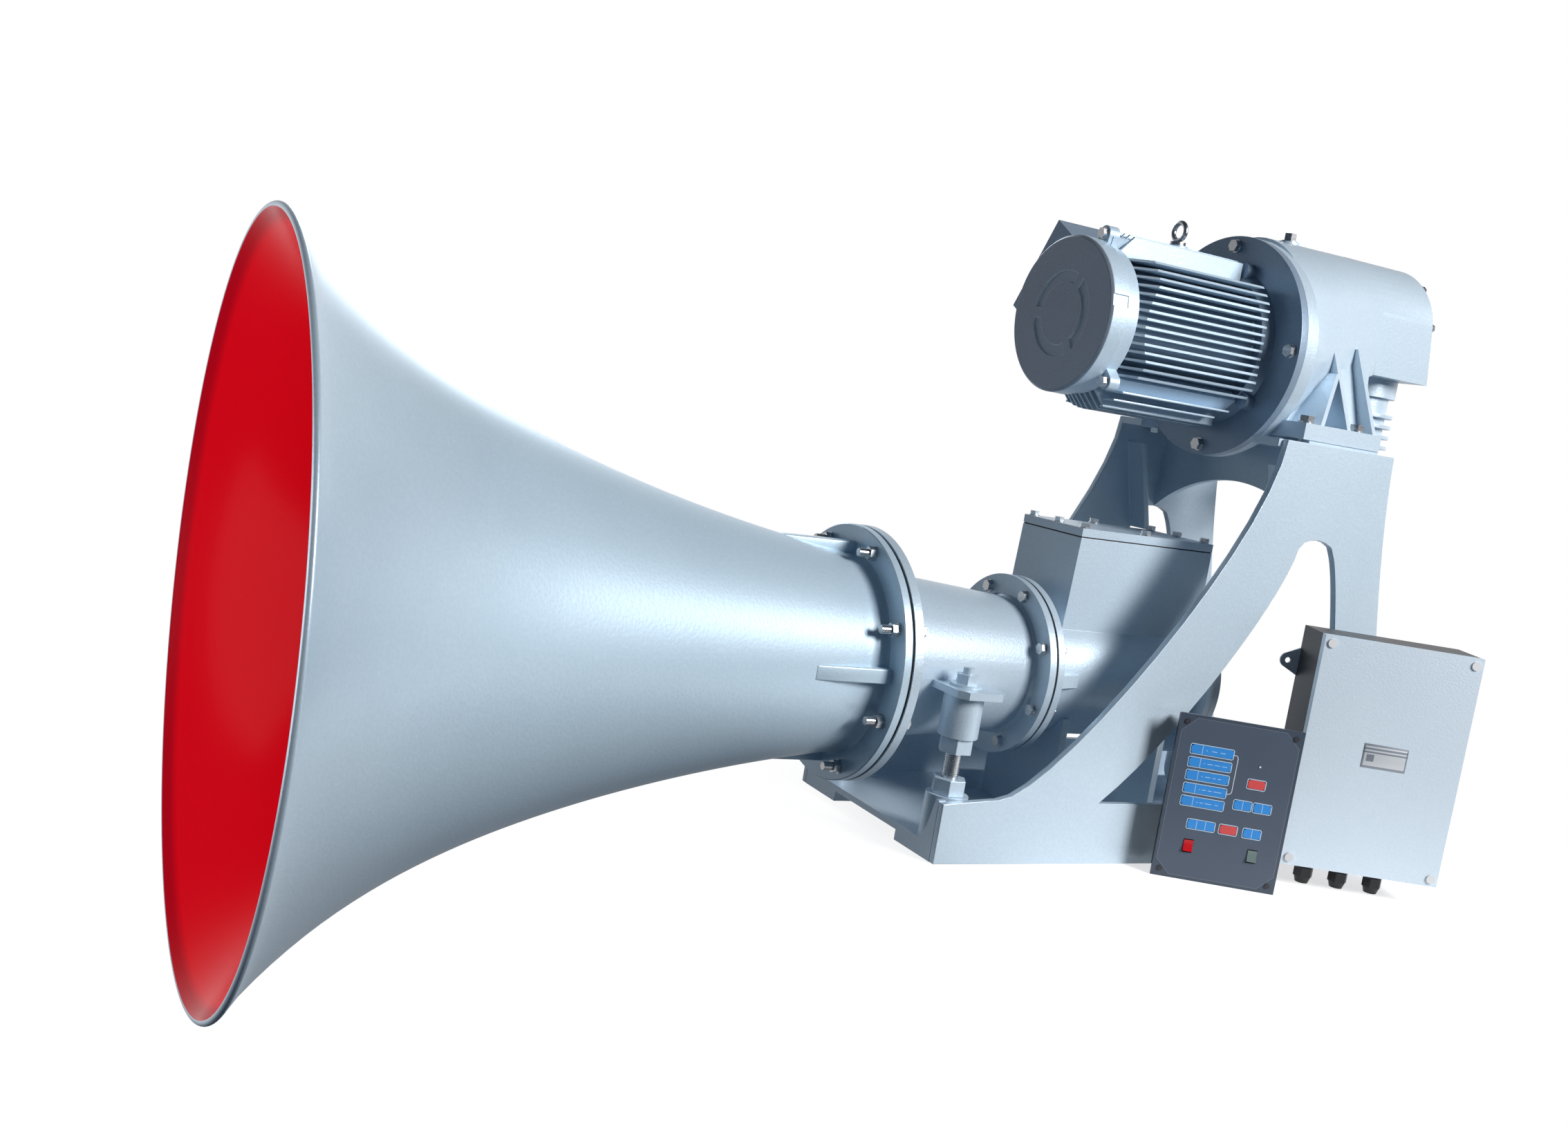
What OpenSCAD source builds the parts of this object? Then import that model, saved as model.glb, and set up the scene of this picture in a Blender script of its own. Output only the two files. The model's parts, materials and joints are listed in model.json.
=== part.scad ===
/* [Bell] */
// Outer radius of the bell at its mouth
mouth_r = 500; // [440:5:540]
// Length of the bell from mouth to flange face
bell_len = 878; // [780:2:960]
// Outer radius of the bell's neck at the flange
neck_r = 150; // [140:1:155]
// Straight part of the flare's growth in radius
flare_taper = 110; // [80:1:130]
// Curved part of the flare's growth in radius
flare_curve = 148; // [120:1:170]
// How sharply the last part of the flare opens
flare_power = 6.4; // [5:0.1:8]
// Wall of the bell
bell_wall = 6; // [4:0.5:8]
// Radius of the rolled rim
rim_r = 4.5; // [4:0.5:7]
// Radius of the bell flange
bell_flange_r = 194; // [192:1:205]
// Thickness of the bell flange and its mate
bell_flange_t = 14; // [10:1:18]
// Bolt circle radius of the bell flange
bell_bolt_pcr = 174; // [170:1:178]
// Radius of the bell studs
bell_stud_r = 6; // [5:0.5:7]
// Reach of the stud in front of the bell flange
bell_stud_reach = 28; // [24:1:40]
// Thickness of the bell's four ribs
rib_t = 22; // [14:1:26]
// Outer radius of the bell's ribs
rib_r = 169; // [164:1:172]
// Length of the bell's ribs along the neck
rib_len = 124; // [100:1:140]
// Thickness of the flange gaskets
gasket_t = 4; // [3:0.5:5]

/* [Throat] */
// Length of the throat between its two flange faces
throat_len = 291; // [280:1:300]
// Outer radius of the throat at the bell end
throat_front_r = 132; // [126:1:136]
// Outer radius of the throat at the box end
throat_rear_r = 106; // [100:1:108]
// Wall of the throat
throat_wall = 8; // [6:0.5:10]
// Radius of the rear flange
rear_flange_r = 143; // [141:1:150]
// Thickness of the rear flange and its mate
rear_flange_t = 12; // [10:1:14]
// Bolt circle radius of the rear flange
rear_bolt_pcr = 126; // [124:1:128]
// Radius of the flange bolts
flange_bolt_r = 5; // [4:0.5:6]
// Thickness of the lugs that hang on the jacks
lug_t = 11; // [8:1:14]
// Length of each lug along the horn
lug_len = 82; // [74:1:90]
// Distance from the middle of the horn to the end of a lug
lug_reach = 205; // [198:1:212]

/* [Sound box] */
// Height of the horn's axis over the base
horn_z = 264; // [258:1:270]
// Outer radius of the box's lower barrel
barrel_r = 108; // [104:1:110]
// Wall of the sound box
box_wall = 8; // [6:0.5:10]
// Distance from the barrel's flange to the neck
box_front = 37; // [34:1:40]
// Width of the box's neck
box_w = 155; // [145:1:165]
// Height of the joint face under the lid
box_top_z = 486; // [470:1:494]
// Length of the neck along the horn
box_len = 272; // [264:1:276]
// Thickness of the lid
lid_t = 13; // [10:1:16]
// Width of the joint face round the neck
box_rim_w = 22; // [20:1:26]
// Radius of the lid bolts
lid_bolt_r = 4; // [3:0.5:5]
// Outer radius of the sounder cylinder
sounder_r = 70; // [64:1:74]
// Bore radius of the sounder cylinder
sounder_bore_r = 58; // [54:1:60]
// Travel of the sounder piston each way
sounder_travel = 4; // [2:0.5:5]
// Radius of the rear cover and its mating flange
end_cover_r = 130; // [126:1:134]

/* [Frame] */
// Length of the base
base_len = 910; // [880:5:940]
// Width over the two side plates
frame_w = 408; // [404:1:420]
// Thickness of the side plates
cheek_t = 12; // [10:1:14]
// Height of the side plates' tops
cheek_top_z = 688; // [682:1:692]
// Height of the side plates at the front
cheek_front_z = 90; // [84:1:96]
// Thickness of the floor plate
floor_t = 10; // [8:1:12]
// Thickness of the foot strips
foot_t = 16; // [12:1:20]
// Width of each foot strip
foot_w = 98; // [86:1:104]
// Distance between base bolt holes along the horn
base_bolt_dx = 700; // [660:10:720]
// Distance between base bolt holes across the horn
base_bolt_dy = 300; // [290:2:310]
// Radius of the base bolt holes
base_hole_r = 9; // [7:0.5:11]
// Thickness of the deck under the gear case
deck_t = 12; // [10:1:14]
// Thickness of the cross web
web_t = 12; // [10:1:14]
// Rise of the web's arch
web_rise = 70; // [50:1:80]
// Thickness of the seats under the gear case
pad_t = 5; // [3:0.5:8]

/* [Jacks] */
// Distance of the jacks from the base's front edge
jack_in = 35; // [33:1:38]
// Distance of each jack from the middle of the horn
jack_y = 159; // [156:1:159]
// Radius of the bosses under the jacks
jack_boss_r = 32; // [28:1:32]
// Height of the top of the bosses
jack_boss_z = 94; // [88:1:100]
// Radius of the jack screws
jack_r = 12; // [10:0.5:13]
// Radius of the sleeves under the lugs
sleeve_r = 30; // [26:1:32]
// Height of the foot of the sleeves
sleeve_z = 181; // [176:1:186]
// Radius of the bolts through the lugs
jack_bolt_r = 8; // [6:0.5:10]

/* [Motor] */
// Height of the motor's axis over the side plates' tops
motor_rise = 137; // [132:1:142]
// Place of the end cap's face along the horn
cap_x = -253; // [-258:1:-248]
// Radius of the end cap
cap_r = 123; // [118:1:126]
// Length of the end cap
cap_len = 34; // [28:1:38]
// Radius of the motor body over its top and bottom fins
fin_r = 140; // [134:1:144]
// Reach of the side fins
fin_side = 126; // [122:1:130]
// Thickness of a fin
fin_t = 3.6; // [2.5:0.1:5]
// Distance from fin to fin
fin_pitch = 12.6; // [11:0.1:14]
// Outer radius of the motor's shell between the fins
shell_r = 105; // [102:1:108]
// Bore radius of the motor's shell
shell_bore_r = 97; // [94:1:98]
// Radius of the motor's mounting flange
motor_flange_r = 182; // [176:1:186]
// Thickness of the motor's mounting flange
motor_flange_t = 14; // [12:1:16]
// Distance of the flange bolts from the edge of the mounting flange
motor_bolt_in = 17; // [15:1:19]
// Radius of the motor shaft
shaft_r = 20; // [18:0.5:21]
// Radius of the rotor core
rotor_r = 58; // [54:0.5:60]
// Gap between rotor and stator
air_gap = 0.5; // [0.3:0.1:1]
// Width of the terminal box
term_w = 164; // [150:1:170]
// Length of the terminal box
term_len = 150; // [130:1:156]
// Distance from the motor's axis to the terminal lid's face
term_reach = 162; // [156:1:168]
// Slope of the terminal box above the level
term_tilt = 31; // [20:1:40]
// Outer radius of the lifting eye
eye_r = 18; // [15:0.5:20]
// Radius of the lifting eye's bar
eye_bar_r = 4; // [3.5:0.5:5]

/* [Gear case and pump] */
// Teeth of the pinion on the motor shaft
pinion_teeth = 20; // [18:1:22]
// Teeth of the gear on the crankshaft
gear_teeth = 40; // [36:1:42]
// Gear module
gear_module = 3; // [2.8:0.1:3]
// Play between the teeth
backlash = 0.7; // [0.4:0.1:1]
// Width of the gear
gear_w = 24; // [18:1:28]
// Throw of the crank
crank_throw = 20; // [15:1:20]
// Radius of the crankshaft
crank_r = 17.5; // [15:0.5:18]
// Radius of the crank pin
pin_r = 10; // [8:0.5:11]
// Length of the connecting rod between centres
rod_len = 150; // [140:1:156]
// Place of the pump's axis along the horn
pump_x = 422; // [418:1:426]
// Bore radius of the pump
pump_bore_r = 42; // [40:0.5:43]
// Outer radius of the pump's barrel
pump_barrel_r = 50; // [48:0.5:52]
// Radius over the pump's fins
pump_fin_r = 62; // [58:0.5:64]
// Distance from fin to fin on the pump
pump_fin_pitch = 18; // [15:0.5:20]
// Length of the pump's barrel
pump_len = 156; // [150:1:160]
// Half width of the gear case at its rear
hood_r = 97; // [96:1:100]
// Height of the gear case's highest line over the motor's axis
hood_rise = 190; // [186:1:194]
// Forward lean of the gear case's rear face
cover_lean = 8.5; // [6:0.5:9]
// Bore radius of the air pipe
pipe_bore_r = 10; // [8:0.5:12]
// Outer radius of the air pipe
pipe_r = 14; // [13:0.5:16]

/* [Control panel] */
// Width of the control panel
panel_w = 189; // [180:1:200]
// Height of the control panel
panel_h = 256; // [250:1:264]
// Depth of the control panel
panel_d = 40; // [34:1:44]
// Thickness of the panel's face
face_t = 5; // [4:0.5:6]
// Height of a key
key_h = 13.5; // [11:0.5:15]
// Length of a programme key
key_long = 64; // [56:1:66]
// Length of a single key
key_short = 26; // [22:1:26]
// How far a key stands out of the face
key_proud = 1; // [0.8:0.1:1.5]
// Travel of a key
key_travel = 0.8; // [0.5:0.1:1]
// Turn of a rocker switch from off to on
rocker_turn = 16; // [10:1:18]

/* [Control cabinet] */
// Width of the cabinet
cabinet_w = 250; // [240:1:258]
// Height of the cabinet
cabinet_h = 366; // [350:1:376]
// Depth of the cabinet with its lid
cabinet_d = 95; // [85:1:96]
// Wall of the cabinet
cabinet_wall = 4; // [3:0.5:6]
// Thickness of the cabinet's lid
cabinet_lid_t = 14; // [10:1:18]
// Height of the cabinet's underside over its glands' ends
gland_len = 38; // [34:1:42]
// Bore radius of a cable gland
gland_bore_r = 6; // [4:0.5:8]
// Radius of the holes in the cabinet's ears
ear_hole_r = 4.5; // [3:0.5:6]

/* [Hidden] */
$fn = 72;
// clearance round a bolt in its hole
bolt_gap = 0.4;
// running clearance of a shaft in its bearing
run_gap = 0.04;
// clearance round a key in its pocket
key_gap = 0.3;
base_front_x = -base_len / 2;
base_rear_x = base_len / 2;
floor_z = foot_t;
floor_top_z = floor_z + floor_t;
cheek_in_y = frame_w / 2 - cheek_t;
// stations along the horn
bell_x = -555.5;
bell_flange_x1 = bell_x + bell_flange_t;
throat_x0 = bell_flange_x1 + gasket_t;
throat_x1 = throat_x0 + throat_len;
barrel_x0 = throat_x1 + gasket_t;
box_x0 = barrel_x0 + rear_flange_t + box_front;
box_x1 = box_x0 + box_len;
end_flange_t = 12;
barrel_x1 = box_x1 + end_flange_t + 1;
end_cover_t = 12;
end_bolt_pcr = (barrel_r + end_cover_r) / 2;
box_mid_x = (box_x0 + box_x1) / 2;
lid_z = box_top_z + gasket_t / 2;
lug_z = horn_z - 19;
jack_x = base_front_x + jack_in;
lug_x0 = jack_x - lug_len / 2 + 6;
// stations along the motor
motor_z = cheek_top_z + motor_rise;
cap_x1 = cap_x + cap_len;
fins_x0 = cap_x1 + 21;
fins_x1 = 55;
shield_x1 = 77;
motor_flange_x1 = shield_x1 + motor_flange_t;
case_flange_x1 = motor_flange_x1 + 30;
bearing_w = 18;
motor_bearing_r = 40;
motor_bolt_pcr = motor_flange_r - motor_bolt_in;
core_x0 = fins_x0 + 68;
core_x1 = fins_x1 - 35;
fin_slope = 26;
fins_up = floor((shell_r - 8) / fin_pitch + 0.5);
fins_down = floor((shell_r - 20) / fin_pitch + 0.5);
top_fins = 2 * floor(shell_r / 2 / fin_pitch);
lug_angles = [-78, 46, 165];
lug_pcr = cap_r + 10;
term_x0 = cap_x + 36;
// crankcase
case_x1 = pump_x + 42;
crank_z = motor_z + gear_module * (pinion_teeth + gear_teeth) / 2;
hood_top_z = motor_z + hood_rise;
hood_z = hood_top_z - hood_r;
hood_floor_z = motor_z - 3;
hood_floor_t = 14;
gear_x0 = 160;
gear_chamber_x0 = 136;
gear_chamber_x1 = 202;
crank_bearing_r = 34;
crank_bearing_x = [gear_chamber_x1, pump_x - 70];
crank_chamber_x0 = pump_x - 44;
crank_disc_x0 = pump_x - 36;
crank_disc_t = 16;
pin_x1 = pump_x + 15;
rod_t = 22;
foot_x0 = 110;
foot_x1 = 280;
foot_z1 = cheek_top_z + 31;
foot_y = cheek_in_y + 2;
pedestal_x1 = pump_x - 107;
pedestal_y = 126;
cover_t = 8;
cover_bolt_r = hood_r - 8;
pump_bolt_r = 3;
crank_pin_z = crank_z - crank_throw;
wrist_z = crank_pin_z - rod_len;
piston_wall = 6;
piston_top_z = wrist_z + 22;
piston_crown_z = wrist_z - 14 - 2 * crank_throw - 12;
pump_z1 = hood_floor_z;
pump_z0 = pump_z1 - pump_len;
head_h = 40;
head_z0 = pump_z0 - head_h;
intake_r = 8;
pipe_z = head_z0 + 14;
pipe_bend_r = 26;
head_face_x = pump_x - pump_fin_r;
cover_face_x = barrel_x1 + end_cover_t + 10;
pipe_rear_x = head_face_x - 30;
pipe_side_y = cheek_in_y - 32;
pipe_front_x = cover_face_x + 44;
pipe_low_z = floor_top_z + 54;
// places of the panel and the cabinet
panel_at = [-82, -248, 0];
panel_yaw = -30.6;
cabinet_at = [121, -308, gland_len];
cabinet_yaw = -27;

// Curve helpers
function bezier(a, b, c, d, n = 14) = [
  for (i = [0 : n])
    let (t = i / n, s = 1 - t)
      s * s * s * a + 3 * s * s * t * b + 3 * s * t * t * c + t * t * t * d
];
function flare_out(u) = neck_r + flare_taper * u + flare_curve * u * u
  + (mouth_r - neck_r - flare_taper - flare_curve) * pow(u, flare_power);

// A round bar along the horn from x0 to x1
module xcyl(x0, x1, r, z = 0) {
  translate([x0, 0, z])
    rotate([0, 90, 0])
      cylinder(h = x1 - x0, r = r);
}

module xcone(x0, x1, r0, r1, z = 0) {
  translate([x0, 0, z])
    rotate([0, 90, 0])
      cylinder(h = x1 - x0, r1 = r0, r2 = r1);
}

module xring(x0, x1, r_out, r_in, z = 0) {
  difference() {
    xcyl(x0, x1, r_out, z);
    xcyl(x0 - 1, x1 + 1, r_in, z);
  }
}

// Copies round an axis along the horn; angle 0 is the near side and 90 the underside
module around(count, r, first = 0, z = 0) {
  for (i = [0 : count - 1])
    translate([0, 0, z])
      rotate([first + i * 360 / count, 0, 0])
        translate([0, -r, 0])
          children();
}

module at_angles(angles, r, z = 0) {
  for (a = angles)
    translate([0, 0, z])
      rotate([a, 0, 0])
        translate([0, -r, 0])
          children();
}

module hex_x(x0, x1, flats) {
  translate([x0, 0, 0])
    rotate([0, 90, 0])
      cylinder(h = x1 - x0, r = flats / 2 / cos(30), $fn = 6);
}

module hex_z(z0, z1, flats) {
  translate([0, 0, z0])
    cylinder(h = z1 - z0, r = flats / 2 / cos(30), $fn = 6);
}

// A bolt along the horn: shank from x0 to x1, its head in front of x0
module bolt_x(x0, x1, r, flats, head) {
  xcyl(x0 - head, x1, r);
  hex_x(x0 - head - 1.5, x0 - 1.5, flats);
  xcyl(x0 - 1.5, x0, flats / 2 + 2);
}

module nut_x(x0, r, flats, h) {
  hex_x(x0 + 1.5, x0 + 1.5 + h, flats);
  xcyl(x0, x0 + 1.5, flats / 2 + 2);
  xcyl(x0 - 1, x0 + h + 6, r);
}

// Bell

bell_steps = 26;
module bell_outer() {
  rotate_extrude($fn = 120)
    polygon(concat(
      [[0, -bell_flange_t], [neck_r, -bell_flange_t]],
      [for (i = [0 : bell_steps])
        let (u = i / bell_steps) [flare_out(u), u * bell_len]],
      [[0, bell_len]]));
}

module bell_inner() {
  rotate_extrude($fn = 120)
    polygon(concat(
      [[0, -bell_flange_t - 1], [neck_r - bell_wall, -bell_flange_t - 1]],
      [for (i = [0 : bell_steps])
        let (u = i / bell_steps)
          [flare_out(u) - bell_wall * (1 + 0.3 * u), u * bell_len + 0.01]],
      [[mouth_r - bell_wall * 1.3, bell_len + 10], [0, bell_len + 10]]));
}

module bell() {
  color("lightsteelblue")
    translate([0, 0, horn_z])
      difference() {
        union() {
          difference() {
            union() {
              translate([bell_x, 0, 0])
                rotate([0, -90, 0])
                  bell_outer();
              around(4, 0)
                translate([bell_x - rib_len, -rib_r, -rib_t / 2])
                  cube([rib_len + 1, rib_r, rib_t]);
              xcyl(bell_x, bell_flange_x1, bell_flange_r);
            }
            translate([bell_x, 0, 0])
              rotate([0, -90, 0])
                bell_inner();
          }
          translate([bell_x - bell_len, 0, 0])
            rotate([0, 90, 0])
              rotate_extrude($fn = 120)
                translate([mouth_r - rim_r + 1, 0])
                  circle(r = rim_r, $fn = 24);
        }
        around(8, bell_bolt_pcr, 22.5)
          xcyl(bell_x - 1, bell_flange_x1 + 1, bell_stud_r + bolt_gap);
      }
}

module bell_studs() {
  nut_h = 10;
  color("silver")
    around(8, bell_bolt_pcr, 22.5, horn_z) {
      xcyl(bell_x - bell_stud_reach, throat_x0 + bell_flange_t + nut_h + 4, bell_stud_r);
      hex_x(bell_x - 2 - nut_h, bell_x - 2, 18);
      xcyl(bell_x - 2, bell_x, 11);
      xcyl(throat_x0 + bell_flange_t, throat_x0 + bell_flange_t + 2, 11);
      hex_x(throat_x0 + bell_flange_t + 2, throat_x0 + bell_flange_t + 2 + nut_h, 18);
    }
}

// One gasket behind each flange of the throat, and the sheet under the lid
module gaskets() {
  color("dimgray") {
    difference() {
      xring(bell_flange_x1, throat_x0, bell_flange_r - 3, neck_r - bell_wall, horn_z);
      around(8, bell_bolt_pcr, 22.5, horn_z)
        xcyl(bell_flange_x1 - 1, throat_x0 + 1, bell_stud_r + bolt_gap);
    }
    difference() {
      xring(throat_x1, barrel_x0, rear_flange_r - 2, throat_rear_r - throat_wall, horn_z);
      around(8, rear_bolt_pcr, 22.5, horn_z)
        xcyl(throat_x1 - 1, barrel_x0 + 1, flange_bolt_r + bolt_gap);
    }
    difference() {
      translate([box_x0 + 1, -box_w / 2 + 1, box_top_z])
        cube([box_len - 2, box_w - 2, gasket_t / 2]);
      translate([box_x0 + box_rim_w, -box_w / 2 + box_rim_w, box_top_z - 1])
        cube([box_len - 2 * box_rim_w, box_w - 2 * box_rim_w, gasket_t]);
      lid_bolt_places()
        translate([0, 0, box_top_z - 1])
          cylinder(h = gasket_t, r = lid_bolt_r + bolt_gap, $fn = 24);
    }
  }
}

// Throat

module throat_cone() {
  inner_front = throat_front_r - throat_wall;
  inner_rear = throat_rear_r - throat_wall;
  color("lightsteelblue")
    difference() {
      union() {
        xcone(throat_x0, throat_x1, throat_front_r, throat_rear_r, horn_z);
        xcyl(throat_x0, throat_x0 + bell_flange_t, bell_flange_r, horn_z);
        xcone(throat_x0 + bell_flange_t, throat_x0 + bell_flange_t + 14,
           throat_front_r + 8, throat_front_r - 2, horn_z);
        xcyl(throat_x1 - rear_flange_t, throat_x1, rear_flange_r, horn_z);
        xcone(throat_x1 - rear_flange_t - 8, throat_x1 - rear_flange_t,
           throat_rear_r, throat_rear_r + 6, horn_z);
        // lugs that hang on the jacks, with cut corners
        translate([lug_x0, 0, lug_z])
          linear_extrude(lug_t)
            polygon([[0, -lug_reach + 14], [12, -lug_reach], [lug_len - 12, -lug_reach],
                [lug_len, -lug_reach + 14], [lug_len, lug_reach - 14],
                [lug_len - 12, lug_reach], [12, lug_reach], [0, lug_reach - 14]]);
      }
      xcone(throat_x0 - 1, throat_x1 + 1, inner_front + 0.1, inner_rear - 0.1, horn_z);
      around(8, bell_bolt_pcr, 22.5, horn_z)
        xcyl(throat_x0 - 1, throat_x0 + bell_flange_t + 1, bell_stud_r + bolt_gap);
      around(8, rear_bolt_pcr, 22.5, horn_z)
        xcyl(throat_x1 - rear_flange_t - 1, throat_x1 + 1, flange_bolt_r + bolt_gap);
      jack_places()
        translate([0, 0, lug_z - 1])
          cylinder(h = lug_t + 2, r = jack_bolt_r + bolt_gap, $fn = 36);
    }
}

module throat_bolts() {
  color("silver")
    around(8, rear_bolt_pcr, 22.5, horn_z) {
      bolt_x(throat_x1 - rear_flange_t, barrel_x0 + rear_flange_t + 1, flange_bolt_r, 16, 7);
      nut_x(barrel_x0 + rear_flange_t, flange_bolt_r, 16, 8);
    }
}

// Sound box

module lid_bolt_places() {
  inset = box_rim_w / 2;
  for (y = [-box_w / 2 + inset, box_w / 2 - inset])
    for (i = [0 : 2])
      translate([box_x0 + inset + i * (box_len / 2 - inset), y, 0])
        children();
  for (x = [box_x0 + inset, box_x1 - inset])
    translate([x, 0, 0])
      children();
}

module box_profile(inset, z0, z1) {
  translate([0, box_w / 2 - inset, 0])
    rotate([90, 0, 0])
      linear_extrude(box_w - 2 * inset)
        polygon([[box_x0 + inset - 7, z0], [box_x1 - inset, z0],
            [box_x1 - inset, z1], [box_x0 + inset, z1]]);
}

module sound_box() {
  neck_z = horn_z + 40;
  gusset = 56;
  color("lightsteelblue")
    difference() {
      union() {
        xcyl(barrel_x0, barrel_x1, barrel_r, horn_z);
        xcyl(barrel_x0, barrel_x0 + rear_flange_t, rear_flange_r, horn_z);
        xcyl(barrel_x1 - end_flange_t, barrel_x1, end_cover_r, horn_z);
        box_profile(0, neck_z, box_top_z);
        // gussets behind the flange, on the near and the far side
        for (side = [-1, 1])
          translate([barrel_x0 + rear_flange_t - 1, 0, horn_z - 10])
            linear_extrude(20)
              polygon([[0, 0], [gusset, 0], [gusset, side * (barrel_r + 3)],
                  [0, side * (barrel_r + 24)]]);
      }
      xcyl(barrel_x0 - 1, barrel_x1 + 1, barrel_r - box_wall, horn_z);
      difference() {
        box_profile(box_wall, neck_z, box_top_z + 1);
        // joint face: the walls thicken into a rim under the lid
        difference() {
          translate([box_x0 - 8, -box_w / 2, box_top_z - 18])
            cube([box_len + 16, box_w, 20]);
          translate([box_x0 + box_rim_w, -box_w / 2 + box_rim_w, box_top_z - 20])
            cube([box_len - 2 * box_rim_w, box_w - 2 * box_rim_w, 30]);
        }
      }
      around(8, rear_bolt_pcr, 22.5, horn_z)
        xcyl(barrel_x0 - 1, barrel_x0 + rear_flange_t + 1, flange_bolt_r + bolt_gap);
      around(8, end_bolt_pcr, 22.5, horn_z)
        xcyl(barrel_x1 - end_flange_t - 1, barrel_x1 + 1, lid_bolt_r + bolt_gap);
      lid_bolt_places()
        translate([0, 0, box_top_z - 14])
          cylinder(h = 20, r = lid_bolt_r + bolt_gap, $fn = 24);
    }
}

module box_lid() {
  color("lightsteelblue")
    difference() {
      translate([box_x0, -box_w / 2, lid_z])
        cube([box_len, box_w, lid_t]);
      lid_bolt_places()
        translate([0, 0, lid_z - 1])
          cylinder(h = lid_t + 2, r = lid_bolt_r + bolt_gap, $fn = 24);
    }
}

module box_bolts() {
  lid_top = lid_z + lid_t;
  color("silver") {
    lid_bolt_places() {
      translate([0, 0, box_top_z - 12])
        cylinder(h = lid_top - box_top_z + 14, r = lid_bolt_r, $fn = 24);
      translate([0, 0, lid_top])
        cylinder(h = 1.5, r = 9, $fn = 24);
      hex_z(lid_top + 1.5, lid_top + 8, 14);
    }
    around(8, end_bolt_pcr, 22.5, horn_z)
      mirror([1, 0, 0])
        bolt_x(-barrel_x1 - end_cover_t, -barrel_x1 + end_flange_t - 0.5, lid_bolt_r, 13, 6);
  }
}

// Sounder: a free piston in a slotted cylinder behind the throat

sounder_x0 = barrel_x0 + 40;
sounder_x1 = barrel_x1;
sounder_flange_t = 12;
module sounder_cylinder() {
  color("darkgray")
    difference() {
      union() {
        xcyl(sounder_x0, sounder_x1, sounder_r, horn_z);
        xcyl(sounder_x0, sounder_x0 + sounder_flange_t, barrel_r - box_wall, horn_z);
      }
      xcyl(sounder_x0 - 1, sounder_x1 + 1, sounder_bore_r, horn_z);
      around(8, 0, 22.5, horn_z)
        translate([sounder_x0 + 60, -sounder_r - 1, -8])
          cube([70, sounder_r - sounder_bore_r + 6, 16]);
    }
}

module sounder_piston() {
  r = sounder_bore_r - run_gap - 0.02;
  color("gainsboro")
    difference() {
      xcyl(sounder_x0 + 44, sounder_x0 + 128, r, horn_z);
      xcyl(sounder_x0 + 54, sounder_x0 + 129, r - 8, horn_z);
    }
}

module end_cover() {
  color("lightsteelblue")
    difference() {
      union() {
        xcyl(barrel_x1, barrel_x1 + end_cover_t, end_cover_r, horn_z);
        xcyl(barrel_x1, cover_face_x, 46, horn_z);
      }
      xcyl(barrel_x1 - 1, cover_face_x + 1, pipe_bore_r, horn_z);
      around(8, end_bolt_pcr, 22.5, horn_z)
        xcyl(barrel_x1 - 1, barrel_x1 + end_cover_t + 1, lid_bolt_r + bolt_gap);
    }
}

// Jacks

module jack_places() {
  for (side = [-1, 1])
    translate([jack_x, side * jack_y, 0])
      children();
}

module jack_screws() {
  color("silver")
    jack_places()
      translate([0, 0, jack_boss_z - 30])
        cylinder(h = sleeve_z + 20 - jack_boss_z + 30, r = jack_r, $fn = 48);
}

module jack_nuts() {
  color("gray")
    jack_places()
      difference() {
        union() {
          hex_z(jack_boss_z, jack_boss_z + 24, 46);
          hex_z(sleeve_z - 24, sleeve_z, 46);
        }
        translate([0, 0, jack_boss_z - 1])
          cylinder(h = sleeve_z - jack_boss_z + 2, r = jack_r + bolt_gap / 2, $fn = 48);
      }
}

module jack_sleeves() {
  color("lightsteelblue")
    jack_places()
      difference() {
        translate([0, 0, sleeve_z])
          cylinder(h = lug_z - sleeve_z, r = sleeve_r);
        translate([0, 0, sleeve_z - 1])
          cylinder(h = 25, r = jack_r + bolt_gap / 2, $fn = 48);
        translate([0, 0, lug_z - 26])
          cylinder(h = 27, r = jack_bolt_r + bolt_gap / 2, $fn = 36);
      }
}

module jack_bolts() {
  z0 = lug_z + lug_t;
  color("silver")
    jack_places() {
      translate([0, 0, z0])
        cylinder(h = 4, r = 24);
      hex_z(z0 + 4, z0 + 18, 30);
      translate([0, 0, lug_z - 24])
        cylinder(h = z0 + 28 - lug_z + 24, r = jack_bolt_r, $fn = 36);
    }
}

// Frame

function cheek_outline() = concat(
  [[base_rear_x, 0], [base_front_x, 0], [base_front_x, cheek_front_z]],
  bezier([base_front_x + 97, cheek_front_z + 8], [base_front_x + 185, cheek_front_z + 8],
     [70, cheek_top_z - 168], [70, cheek_top_z]),
  bezier([308, cheek_top_z], [312, cheek_top_z - 127], [360, 300],
     [base_rear_x, floor_top_z + 34]));
function arch_outline() = concat(
  bezier([base_front_x + 285, floor_top_z + 70], [base_front_x + 425, 210],
     [125, 440], [138, 521]),
  bezier([148, 532], [162, 540], [190, 541], [208, 529], 4),
  bezier([213, 521], [240, 480], [262, 350], [base_rear_x - 130, floor_top_z + 70]));

module cheek(side) {
  rib_w = 40;
  difference() {
    union() {
      translate([0, side * cheek_in_y + (side < 0 ? 0 : cheek_t), 0])
        rotate([90, 0, 0])
          linear_extrude(cheek_t)
            polygon(cheek_outline());
      // slanting stiffener under the deck
      translate([0, side * cheek_in_y + (side < 0 ? rib_w : 0), 0])
        rotate([90, 0, 0])
          linear_extrude(rib_w)
            polygon([[88, cheek_top_z - deck_t - 30], [98, cheek_top_z - deck_t - 30],
                [140, cheek_top_z - 192], [128, cheek_top_z - 192]]);
    }
    translate([0, side * cheek_in_y + cheek_t + 1, 0])
      rotate([90, 0, 0])
        linear_extrude(2 * cheek_t + 2)
          polygon(arch_outline());
  }
}

module near_cheek() {
  color("lightsteelblue")
    cheek(-1);
}

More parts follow.
